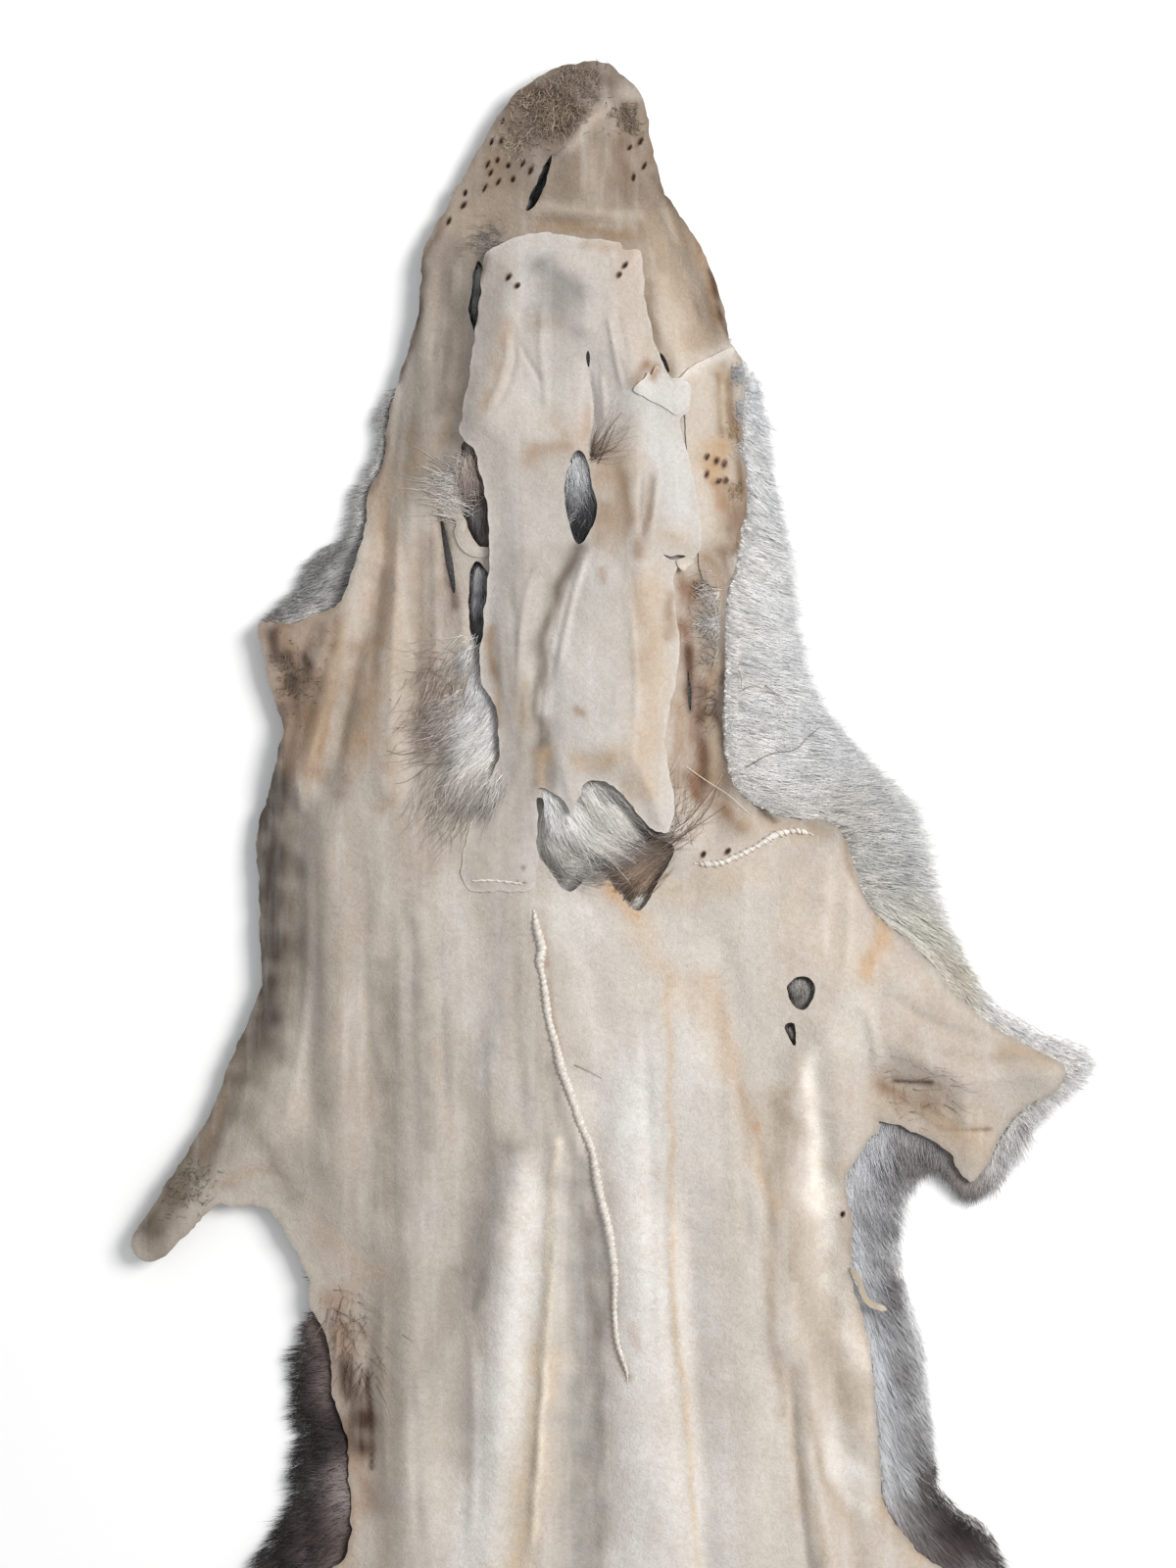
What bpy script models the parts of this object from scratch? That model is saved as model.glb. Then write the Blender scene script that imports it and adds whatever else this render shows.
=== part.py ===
"""Tanned opossum pelt, laid out with its flesh side up and its fur on the floor.

The pelt is four pieces, from the floor up. The fur is a lumpy slab with a flat foot
and pointed locks round its rim. The hide is a thin leather sheet that lies on it. The
skin of the jaw and throat is a second sheet, turned up over the neck, and it lies on
its own thin layer of fur.

Every outline is read in millimetres. "across" runs to the right from the middle line,
and "down" runs from the tip of the nose towards the tail.
"""

import random
from collections import namedtuple

import bmesh
import bpy
import numpy as np
from mathutils import Vector
from mathutils.geometry import delaunay_2d_cdt

MM = 0.001

# Driving sizes, in millimetres
HIDE_THICK = 1.6
THROAT_THICK = 1.4
GAP = 0.4
HIDE_LOFT = 13.0
HIDE_RIM = 6.5
HIDE_LOWEST = 4.5
LOFT_RUN = 30.0
THROAT_FUR_THICK = 3.4
THROAT_FUR_RIM = 0.9
THROAT_RUN = 13.0
LOCK_TIP_THICK = 1.2
LOCK_ROOT_THICK = 5.6
LOCKS = 150
LOCK_CUT = 0.62
LOCK_UNEVEN = 0.15
LOCK_SWEEP = 3.0
LUMP_HEIGHT = 0.5
LUMP_ACROSS = 26.0
LUMP_DOWN = 33.0
FUR_THINS_OVER = 9.0
CHEST_BULGE = 1.8
CHEST_SLOPE = 6.0

# How finely the sheets are divided, in millimetres
ROW_ACROSS = 8.0
ROW_DOWN = 18.0
RIM_STEP = 7.5
FUR_LINE_STEP = 1.0
HOLE_STEP = 3.6
ROW_CLEARANCE = 2.2
ON_THE_LINE = 0.5
CURVE_SHARES = 12

HIDE_OUTLINE = {
    "muzzle": [(-13, 3), (-5, 1), (5, 0), (12, 5), (17, 10)],
    "right of the head": [
        (20, 17), (21, 25), (23, 33), (25, 42), (28, 48), (33, 55), (39, 65), (43, 75), (46, 84),
        (48, 94),
    ],
    "right cheek": [
        (51, 99), (53, 107), (52, 127), (54, 146), (52, 158), (50, 170), (47, 180), (46, 205),
        (46, 233),
    ],
    "right shoulder": [
        (51, 247), (64, 255), (81, 257), (87, 263), (91, 275), (96, 287), (108, 297), (118, 307),
    ],
    "right foreleg": [
        (123, 314), (137, 326), (155, 336), (161, 340), (158, 348), (147, 354), (139, 364), (133, 376),
        (128, 378), (121, 368), (113, 363), (99, 358), (98, 361), (90, 371), (87, 379),
    ],
    "right flank": [
        (89, 393), (89, 411), (95, 433), (97, 451), (99, 478), (101, 489), (111, 503), (124, 513),
    ],
    "right hind leg": [
        (134, 527), (148, 543), (162, 562), (168, 577), (166, 586), (157, 591), (142, 594), (127, 599),
        (118, 607),
    ],
    "right of the rump": [
        (113, 620), (107, 638), (95, 656), (76, 672), (53, 682), (30, 687), (14, 691),
    ],
    "root of the tail": [(8, 699), (0, 702), (-8, 699)],
    "left of the rump": [
        (-14, 691), (-30, 687), (-53, 682), (-76, 672), (-95, 656), (-107, 638), (-114, 620),
    ],
    "left hind leg": [
        (-120, 607), (-131, 601), (-147, 598), (-161, 597), (-169, 591), (-168, 583), (-158, 568),
        (-142, 552), (-124, 536), (-107, 523),
    ],
    "left flank": [
        (-92, 513), (-82, 505), (-80, 495), (-81, 478), (-82, 464), (-86, 452), (-88, 432), (-94, 420),
        (-94, 412),
    ],
    "left foreleg": [
        (-97, 406), (-101, 398), (-108, 388), (-118, 387), (-126, 387), (-135, 396), (-145, 405),
        (-152, 404), (-154, 398), (-148, 388), (-136, 370), (-129, 358), (-122, 341), (-114, 322),
    ],
    "left side": [
        (-110, 311), (-111, 298), (-111, 279), (-112, 263), (-108, 247), (-104, 232), (-103, 224),
    ],
    "left ear": [(-107, 213), (-110, 200), (-111, 190), (-101, 190), (-89, 186), (-82, 180)],
    "left of the neck": [
        (-76, 160), (-74, 146), (-69, 134), (-67, 117), (-62, 102), (-57, 83), (-56, 66),
    ],
    "left of the head": [(-51, 55), (-44, 42), (-37, 30), (-31, 20), (-25, 12), (-20, 8)],
}

# How far the fur stands out past the hide, at the start and the end of each stretch of its outline.
# Below zero, the fur ends under the hide and none shows.
FUR_REACH = {
    "muzzle": (-2.5, -2.5),
    "right of the head": (-2.5, -1),
    "right flank": (17, 20),
    "right hind leg": (14, 13),
    "right of the rump": (13, 14),
    "root of the tail": (13, 13),
    "left of the rump": (14, 13),
    "left hind leg": (13, 14),
    "left foreleg": (-2, -2.5),
    "left side": (-3, -3),
    "left of the neck": (5, -3),
    "left of the head": (-3, -2.5),
}

# Where the fur doesn't follow the hide's edge, the line that its tips reach.
FUR_EDGE = {
    "right cheek": [(57, 107), (60, 124), (63, 143), (67, 163), (69, 183), (71, 197), (75, 211)],
    "right shoulder": [
        (84, 224), (98, 240), (109, 250), (114, 266), (119, 283), (127, 301), (134, 313),
    ],
    "right foreleg": [
        (144, 322), (157, 328), (170, 335), (169, 344), (155, 355), (148, 367), (138, 380), (128, 383),
        (119, 374), (111, 377),
    ],
    "left flank": [
        (-114, 512), (-108, 500), (-100, 488), (-100, 475), (-97, 466), (-100, 455), (-99, 440),
        (-95, 428), (-91, 418),
    ],
    "left ear": [(-104, 214), (-107, 202), (-108, 189), (-99, 179), (-91, 165)],
}

THROAT_OUTLINE = {
    "tip of the jaw": [(-35, 68), (-29, 63), (-16, 59), (-2, 61), (8, 62), (18, 67)],
    "right of the jaw": [
        (19, 80), (22, 95), (27, 107), (33, 112), (34, 118), (31, 124), (35, 139), (38, 159),
    ],
    "torn right side": [
        (37, 167), (30, 171), (29, 184), (31, 197), (28, 217), (26, 227), (27, 238), (29, 250),
        (27, 260),
    ],
    "arch over the chest": [
        (21, 259), (16, 253), (10, 246), (3, 243), (-2, 245), (-5, 254), (-10, 248), (-17, 246),
    ],
    "sewn foot": [(-17, 258), (-18, 278), (-30, 280), (-41, 279), (-42, 268)],
    "left of the throat": [
        (-37, 251), (-30, 235), (-31, 219), (-36, 208), (-35, 190), (-33, 168), (-34, 150),
    ],
    "left of the jaw": [(-38, 133), (-43, 126), (-40, 109), (-38, 93), (-36, 80)],
}

THROAT_FUR_OUTLINE = {
    "under the jaw": [(-31, 66), (-15, 62), (5, 65), (15, 71), (17, 90), (24, 108), (29, 118)],
    "right": [(31, 137), (34, 158), (28, 171), (26, 190), (26, 212), (24, 230), (25, 250)],
    "over the chest": [
        (17, 250), (9, 241), (1, 240), (-6, 249), (-13, 244), (-20, 250), (-21, 262), (-22, 275),
    ],
    "foot": [(-38, 276), (-39, 264)],
    "swirl on the neck": [
        (-46, 258), (-44, 249), (-56, 250), (-50, 241), (-61, 238), (-53, 231), (-60, 224), (-50, 220),
        (-52, 211), (-43, 208), (-42, 200),
    ],
    "left": [
        (-37, 190), (-36, 172), (-38, 155), (-39, 140), (-39, 126), (-37, 108), (-35, 90), (-33, 76),
    ],
}

HIDE_HOLES = {
    "chest": [
        (-17, 249), (-10, 252), (-3, 248), (4, 246), (12, 250), (21, 261), (29, 266), (24, 276),
        (17, 287), (10, 281), (3, 277), (-5, 282), (-14, 278), (-18, 263),
    ],
    "upper neck slit": [
        (-41, 129), (-33, 136), (-30, 150), (-31, 162), (-37, 164), (-42, 153), (-43, 139),
    ],
    "lower neck slit": [(-39, 171), (-34, 172), (-32, 184), (-36, 198), (-40, 190)],
    "left corner of the mouth": [(-37, 68), (-34, 75), (-36, 86), (-38, 93), (-40, 85), (-39, 76)],
    "eye": [(-12, 33), (-14, 42), (-18, 50), (-21, 51), (-18, 43), (-14, 35)],
    "shoulder": [(68, 315), (71, 312), (76, 313), (77, 319), (73, 323), (69, 320)],
    "small one on the shoulder": [(67, 330), (70, 329), (71, 334), (69, 336)],
}

THROAT_HOLE = [(-5, 134), (-8, 146), (-6, 158), (-3, 164), (1, 159), (3, 152), (1, 143), (-1, 134)]

Fold = namedtuple("Fold", "across down end_across end_down half_width height")

# A positive height is a ridge, and a negative one a trough.
HIDE_FOLDS = [
    Fold(13, 17, -3, 42, 9, 2.4),
    Fold(-33, 58, 27, 55, 6, -2.6),
    Fold(31, 52, 46, 90, 5, 2.2),
    Fold(26, 66, 39, 102, 7, -2.4),
    Fold(-52, 72, -61, 176, 5, 1.8),
    Fold(-45, 84, -52, 190, 6, -2.0),
    Fold(-77, 168, -99, 246, 6, 3.2),
    Fold(-70, 178, -90, 244, 5, -2.4),
    Fold(-66, 176, -67, 245, 6, 2.4),
    Fold(-58, 166, -60, 240, 6, -2.0),
    Fold(38, 172, 42, 258, 7, -3.6),
    Fold(48, 190, 49, 244, 5, 1.8),
    Fold(52, 252, 80, 262, 5, -2.0),
    Fold(84, 262, 80, 280, 6, 2.4),
    Fold(-97, 252, -94, 352, 6, -2.6),
    Fold(-89, 262, -84, 372, 7, 2.2),
    Fold(-73, 318, -74, 486, 8, -2.4),
    Fold(-57, 408, -64, 560, 8, 2.8),
    Fold(-41, 356, -48, 470, 9, -3.4),
    Fold(-24, 368, -33, 520, 8, 3.6),
    Fold(-9, 366, -22, 600, 5, 2.8),
    Fold(1, 350, -2, 610, 9, -3.6),
    Fold(19, 400, 30, 640, 13, 3.2),
    Fold(33, 396, 42, 560, 5, -1.8),
    Fold(52, 350, 58, 600, 11, 2.8),
    Fold(45, 300, 52, 395, 6, -1.8),
    Fold(72, 338, 67, 430, 7, 2.8),
    Fold(80, 330, 92, 420, 7, 2.4),
    Fold(75, 340, 81, 420, 6, -2.6),
    Fold(74, 440, 86, 560, 5, 2.6),
    Fold(82, 440, 94, 560, 5, -2.4),
    Fold(106, 312, 154, 340, 7, 2.0),
    Fold(100, 344, 136, 358, 8, -1.6),
    Fold(-112, 362, -142, 396, 8, 1.6),
    Fold(-86, 520, -80, 640, 11, -2.2),
    Fold(76, 560, 70, 650, 12, -2.0),
    Fold(-120, 560, -152, 588, 9, 1.8),
    Fold(110, 552, 150, 578, 9, 1.8),
]

THROAT_FOLDS = [
    Fold(-28, 84, -36, 120, 8, 1.2),
    Fold(14, 100, 17, 170, 5, 1.4),
    Fold(1, 104, 1, 132, 4, -1.2),
    Fold(10, 180, 8, 236, 13, 2.2),
    Fold(-3, 168, -15, 206, 5, -2.2),
    Fold(-15, 206, -16, 246, 5, -2.2),
    Fold(-24, 168, -24, 246, 7, 1.4),
]

LEATHER = ("leather", (0.78, 0.72, 0.63, 1), 0.82)
JAW_LEATHER = ("jaw_leather", (0.82, 0.79, 0.74, 1), 0.8)
FUR = ("fur", (0.50, 0.48, 0.46, 1), 0.95)
THROAT_FUR = ("throat_fur", (0.66, 0.63, 0.6, 1), 0.95)


def joined(sections):
    """The sections of an outline, end to end, as one array of points."""
    return np.array([point for section in sections.values() for point in section], float)


def curve_through(points, step):
    """A closed smooth curve through the points, as points about one step apart."""
    after, later, before = (np.roll(points, shift, axis=0) for shift in (-1, -2, 1))
    share = np.linspace(0, 1, CURVE_SHARES, endpoint=False)[None, :, None]
    a, b, c, d = (p[:, None, :] for p in (before, points, after, later))
    dense = 0.5 * (
        2 * b
        + (c - a) * share
        + (2 * a - 5 * b + 4 * c - d) * share**2
        + (3 * b - a - 3 * c + d) * share**3
    )
    dense = dense.reshape(-1, 2)
    sides = np.linalg.norm(np.roll(dense, -1, axis=0) - dense, axis=1)
    walked = np.concatenate([[0], np.cumsum(sides)])
    closed = np.vstack([dense, dense[:1]])
    wanted = np.linspace(0, walked[-1], max(6, round(walked[-1] / step)), endpoint=False)
    return np.stack([np.interp(wanted, walked, closed[:, axis]) for axis in (0, 1)], axis=1)


def inside(points, loop):
    """For each point, whether it lies inside the closed loop."""
    start, end = loop, np.roll(loop, -1, axis=0)
    x, y = points[:, 0, None], points[:, 1, None]
    crosses = (start[:, 1] > y) != (end[:, 1] > y)
    rise = np.where(end[:, 1] == start[:, 1], 1e-9, end[:, 1] - start[:, 1])
    where = start[:, 0] + (y - start[:, 1]) / rise * (end[:, 0] - start[:, 0])
    return (crosses & (x < where)).sum(axis=1) % 2 == 1


def distance_to_segments(points, start, end):
    """Each point's distance to each segment, and how far along the segment its foot is."""
    run = end - start
    offset = points[:, None, :] - start[None, :, :]
    along = np.clip((offset * run).sum(axis=2) / np.maximum((run**2).sum(axis=1), 1e-9), 0, 1)
    return np.linalg.norm(offset - along[:, :, None] * run, axis=2), along


def distance_to_loop(points, loop):
    return distance_to_segments(points, loop, np.roll(loop, -1, axis=0))[0].min(axis=1)


def eased(share):
    """A share from 0 to 1, with its start and end made smooth."""
    share = np.clip(share, 0, 1)
    return share * share * (3 - 2 * share)


def folds_at(points, folds):
    """The sum of the folds' heights at each point."""
    height = np.zeros(len(points))
    for fold in folds:
        start = np.array([[fold.across, fold.down]], float)
        end = np.array([[fold.end_across, fold.end_down]], float)
        away, _ = distance_to_segments(points, start, end)
        height += fold.height * np.exp(-((away[:, 0] / fold.half_width) ** 2))
    return height


def moved_out(points, first, last):
    """An open stretch of the hide's outline, moved outwards by a distance that runs from first to last."""
    run = np.gradient(points, axis=0)
    outwards = np.stack([run[:, 1], -run[:, 0]], axis=1)
    outwards /= np.linalg.norm(outwards, axis=1, keepdims=True)
    return points + outwards * np.linspace(first, last, len(points))[:, None]


def fur_reach():
    """The line that the tips of the fur reach, all round the pelt."""
    line = []
    for name, stretch in HIDE_OUTLINE.items():
        if name in FUR_EDGE:
            line.extend(FUR_EDGE[name])
        else:
            line.extend(moved_out(np.array(stretch, float), *FUR_REACH[name]))
    return np.array(line, float)


def fur_outline(reach, hide):
    """The rim of the fur: pointed locks where it passes the hide, and a plain edge where it doesn't."""
    rng = random.Random(7)
    shown = distance_to_loop(reach, hide) * ~inside(reach, hide)
    rim = []
    step = len(reach) / LOCKS
    for lock in range(LOCKS):
        root = int(lock * step)
        tip = min(int((lock + 0.5 + rng.uniform(-LOCK_UNEVEN, LOCK_UNEVEN)) * step), len(reach) - 1)
        cut = LOCK_CUT * rng.uniform(1 - 2 * LOCK_UNEVEN, 1)
        if shown[root] > 0:
            rim.append(reach[root] + cut * (nearest_on(reach[root], hide) - reach[root]))
        else:
            rim.append(reach[root])
        sweep = LOCK_SWEEP if shown[tip] > LOCK_SWEEP else 0
        rim.append(reach[tip] + np.array([0, sweep]))
    return np.array(rim)


def nearest_on(point, loop):
    """The point of the loop's corners that lies nearest."""
    return loop[np.argmin(np.linalg.norm(loop - point, axis=1))]


def rows_inside(loop):
    """Evenly spaced points inside the loop, clear of its rim."""
    low, high = loop.min(axis=0), loop.max(axis=0)
    across = np.arange(low[0], high[0], ROW_ACROSS)
    down = np.arange(low[1], high[1], ROW_DOWN)
    grid = np.array([(x, y) for y in down for x in across])
    grid = grid[inside(grid, loop)]
    return grid[distance_to_loop(grid, loop) > ROW_ACROSS / 3]


def shared_plan(loops, rows):
    """One flat triangle mesh that has every loop as edges, so that the layers match exactly."""
    clear = np.ones(len(rows), bool)
    for loop in loops:
        clear &= distance_to_loop(rows, loop) > ROW_CLEARANCE
    points = list(rows[clear])
    edges = []
    for loop in loops:
        first = len(points)
        points.extend(loop)
        edges += [(first + i, first + (i + 1) % len(loop)) for i in range(len(loop))]
    made = delaunay_2d_cdt([Vector(p) for p in points], edges, [], 0, 1e-4)
    return np.array([tuple(v) for v in made[0]]), np.array(made[2])


def faces_within(plan, loop, holes=()):
    points, faces = plan
    middles = points[faces].mean(axis=1)
    kept = inside(middles, loop)
    for hole in holes:
        kept &= ~inside(middles, hole)
    return faces[kept]


def layer(name, plan, faces, bottom, top, centre, material):
    """One closed solid: the faces at their bottom heights, extruded up to their top heights."""
    points, _ = plan
    body = bmesh.new()
    made = {}
    for i in np.unique(faces):
        place = Vector((points[i, 0] - centre[0], centre[1] - points[i, 1], bottom[i])) * MM
        made[i] = body.verts.new(place)
    for corners in faces:
        body.faces.new([made[i] for i in corners])
    risen = {made[i].co.xy.copy().freeze(): top[i] * MM for i in made}
    grown = bmesh.ops.extrude_face_region(body, geom=list(body.faces), use_keep_orig=True)
    for item in grown["geom"]:
        if isinstance(item, bmesh.types.BMVert):
            item.co.z = risen[item.co.xy.copy().freeze()]
    bmesh.ops.recalc_face_normals(body, faces=body.faces)
    merge_foot(body)
    mesh = bpy.data.meshes.new(name)
    body.to_mesh(mesh)
    body.free()
    mesh.shade_smooth()
    mesh.materials.append(finish(*material))
    solid = bpy.data.objects.new(name, mesh)
    bpy.context.scene.collection.objects.link(solid)


def merge_foot(body):
    """Makes the triangles that lie flat on the surface one face."""
    foot = {face for face in body.faces if all(v.co.z == 0 for v in face.verts)}
    between = [e for e in body.edges if len(foot.intersection(e.link_faces)) == 2]
    bmesh.ops.dissolve_edges(body, edges=between, use_verts=False, use_face_split=False)


def finish(name, colour, roughness):
    """A plain material of one colour and roughness."""
    material = bpy.data.materials.get(name) or bpy.data.materials.new(name)
    material.use_nodes = True
    shader = material.node_tree.nodes["Principled BSDF"]
    shader.inputs["Base Color"].default_value = colour
    shader.inputs["Roughness"].default_value = roughness
    shader.inputs["Metallic"].default_value = 0
    return material


def hide_top_at(points, hide):
    """The height of the hide's upper side over the floor: it rises from its rim, with its folds."""
    from_rim = distance_to_loop(points, hide)
    top = HIDE_RIM + (HIDE_LOFT - HIDE_RIM) * eased(from_rim / LOFT_RUN)
    return np.maximum(top + folds_at(points, HIDE_FOLDS), HIDE_LOWEST)


def fur_top_at(points, hide, chest, hide_top):
    """The fur reaches up to the hide, thins out to its locks' tips, and swells in the chest's hole."""
    under_hide = hide_top - HIDE_THICK - GAP
    past = distance_to_loop(points, hide)
    turn = points * 2 * np.pi / np.array([LUMP_ACROSS, LUMP_DOWN])
    lumps = LUMP_HEIGHT * np.sin(turn[:, 0]) * np.sin(turn[:, 1]) * eased(past / FUR_THINS_OVER)
    thinned = LOCK_TIP_THICK + (LOCK_ROOT_THICK - LOCK_TIP_THICK) * np.exp(-past / FUR_THINS_OVER) + lumps
    at_rim = HIDE_RIM - HIDE_THICK - GAP
    shows = ~inside(points, hide) & (past > ON_THE_LINE)
    top = np.where(shows, np.minimum(thinned, at_rim), under_hide)
    return top + CHEST_BULGE * eased(distance_to_loop(points, chest) / CHEST_SLOPE) * inside(points, chest)


def throat_fur_at(points, throat):
    """The thickness of the fur between the neck and the throat's skin, which the skin's folds follow."""
    covered = eased(distance_to_loop(points, throat) / THROAT_RUN) * inside(points, throat)
    fluffed = THROAT_FUR_RIM + (THROAT_FUR_THICK - THROAT_FUR_RIM) * covered
    return np.maximum(fluffed + folds_at(points, THROAT_FOLDS) * covered, THROAT_FUR_RIM)


def main():
    for old in list(bpy.data.objects):
        bpy.data.objects.remove(old, do_unlink=True)

    hide = curve_through(joined(HIDE_OUTLINE), RIM_STEP)
    fur = fur_outline(curve_through(fur_reach(), FUR_LINE_STEP), hide)
    throat = curve_through(joined(THROAT_OUTLINE), RIM_STEP)
    throat_fur = curve_through(joined(THROAT_FUR_OUTLINE), RIM_STEP)
    throat_hole = curve_through(np.array(THROAT_HOLE, float), HOLE_STEP)
    holes = {name: curve_through(np.array(loop, float), HOLE_STEP) for name, loop in HIDE_HOLES.items()}

    plan = shared_plan([hide, fur, throat, throat_fur, throat_hole, *holes.values()], rows_inside(hide))
    points = plan[0]
    rim = np.vstack([hide, fur])
    centre = (rim.min(axis=0) + rim.max(axis=0)) / 2

    floor = np.zeros(len(points))
    hide_top = hide_top_at(points, hide)
    fur_top = fur_top_at(points, hide, holes["chest"], hide_top)
    throat_fur_foot = hide_top + GAP
    throat_fur_top = throat_fur_foot + throat_fur_at(points, throat)
    throat_foot = throat_fur_top + GAP

    fur_faces = faces_within(plan, fur)
    hide_faces = faces_within(plan, hide, holes.values())
    throat_fur_faces = faces_within(plan, throat_fur)
    throat_faces = faces_within(plan, throat, [throat_hole])
    layer("fur_pile", plan, fur_faces, floor, fur_top, centre, FUR)
    layer("hide", plan, hide_faces, hide_top - HIDE_THICK, hide_top, centre, LEATHER)
    layer("throat_fur", plan, throat_fur_faces, throat_fur_foot, throat_fur_top, centre, THROAT_FUR)
    layer("throat_skin", plan, throat_faces, throat_foot, throat_foot + THROAT_THICK, centre, JAW_LEATHER)


main()
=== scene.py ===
# %% [markdown]
# An opossum pelt, tanned and laid out with its fur on the floor and its flesh side up. What shows
# is mostly leather: a suede surface that goes from white to tan, with drawn folds, stains, holes
# and hand-sewn repairs. The fur is seen only where it stands out past the leather's edge, in the
# holes, and where the skin of the throat is turned up over the neck.
#
# The solids from the frame give the pelt its place, its size and its main folds. This script
# makes finer sheets on those same folds, and then real hairs, in place of the plain solids.

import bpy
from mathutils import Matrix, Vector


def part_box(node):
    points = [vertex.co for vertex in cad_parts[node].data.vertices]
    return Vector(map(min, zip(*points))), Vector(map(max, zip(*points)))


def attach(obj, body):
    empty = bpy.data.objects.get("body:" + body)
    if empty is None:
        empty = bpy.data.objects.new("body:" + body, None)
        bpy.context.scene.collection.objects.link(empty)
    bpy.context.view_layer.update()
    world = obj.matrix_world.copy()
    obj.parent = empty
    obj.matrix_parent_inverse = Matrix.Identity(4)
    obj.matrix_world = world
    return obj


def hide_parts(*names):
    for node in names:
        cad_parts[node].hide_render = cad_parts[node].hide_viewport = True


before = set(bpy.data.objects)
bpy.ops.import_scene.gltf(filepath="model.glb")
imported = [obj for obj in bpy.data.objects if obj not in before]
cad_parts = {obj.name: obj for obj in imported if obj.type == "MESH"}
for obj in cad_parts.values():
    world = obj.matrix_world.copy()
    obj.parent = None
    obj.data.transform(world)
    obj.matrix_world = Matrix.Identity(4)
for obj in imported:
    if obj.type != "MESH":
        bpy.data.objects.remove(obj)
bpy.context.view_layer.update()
print("nodes", sorted(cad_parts))

# %% Bring in what the cells need
import math
from collections import namedtuple

import bmesh
import bpy
import numpy as np
from mathutils import Vector
from mathutils.geometry import delaunay_2d_cdt
from mathutils.kdtree import KDTree

# %% [markdown]
# Everything on a pelt is placed by looking from above, so it helps to think in a flat plan.
# "across" runs to the right of the middle line and "down" runs from the nose to the tail, both in
# millimetres. Small things, such as a stain or a whisker hole, are read off the picture, so their
# tables are in its pixels, and one function turns those into the plan.

# %% Millimetres, and the picture's pixels
MM = 0.001
MM_PER_PIXEL = 0.33
PICTURE_COLUMNS = 1200
PICTURE_ROWS = 1600
MIDDLE_COLUMN = 600
NOSE_ROW = 60


def in_plan(pixels):
    """Pixels of the 1200 by 1600 picture as millimetres across and down."""
    pixels = np.array(pixels, float).reshape(-1, 2)
    return (pixels - (MIDDLE_COLUMN, NOSE_ROW)) * MM_PER_PIXEL


print("the picture is", PICTURE_COLUMNS * MM_PER_PIXEL, "mm wide")

# %% [markdown]
# A skin has no straight edges. Each outline is a short list of points with a smooth curve through
# them, which is a Catmull-Rom spline: it passes through every point, so a point moved by a
# millimetre moves the edge by a millimetre. A closed curve serves for rims and holes, and an open
# one for folds and seams.

# %% Smooth curves through a few points
CURVE_SHARES = 12


def spline(before, start, end, after):
    """Points on the curve from start to end, for every stretch at once."""
    share = np.linspace(0, 1, CURVE_SHARES, endpoint=False)[None, :, None]
    a, b, c, d = (p[:, None, :] for p in (before, start, end, after))
    return 0.5 * (
        2 * b
        + (c - a) * share
        + (2 * a - 5 * b + 4 * c - d) * share**2
        + (3 * b - a - 3 * c + d) * share**3
    ).reshape(-1, start.shape[1])


def evenly(dense, step, closed):
    """The dense points again, about one step apart."""
    if closed:
        dense = np.vstack([dense, dense[:1]])
    walked = np.concatenate([[0], np.cumsum(np.linalg.norm(np.diff(dense, axis=0), axis=1))])
    count = max(6 if closed else 2, round(walked[-1] / step))
    wanted = np.linspace(0, walked[-1], count, endpoint=not closed)
    return np.stack([np.interp(wanted, walked, column) for column in dense.T], axis=1)


def closed_curve(points, step):
    points = np.array(points, float)
    turned = [np.roll(points, shift, axis=0) for shift in (1, 0, -1, -2)]
    return evenly(spline(*turned), step, True)


def open_curve(points, step):
    points = np.array(points, float)
    ends = np.vstack([2 * points[0] - points[1], points, 2 * points[-1] - points[-2]])
    dense = spline(ends[:-3], ends[1:-2], ends[2:-1], ends[3:])
    return evenly(np.vstack([dense, points[-1:]]), step, False)


def corners_of(outline):
    """The points of every stretch of an outline, one after the other."""
    return [point for stretch in outline.values() for point in stretch]


def outwards(run):
    """The direction out of an outline that runs this way, one long."""
    out = np.stack([run[:, 1], -run[:, 0]], axis=1)
    return out / np.linalg.norm(out, axis=1, keepdims=True)


# %% [markdown]
# The outline of the skin, in stretches that go round the animal. The part of the pelt below the
# picture's edge, with the hind legs and the root of the tail, is plain.

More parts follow.
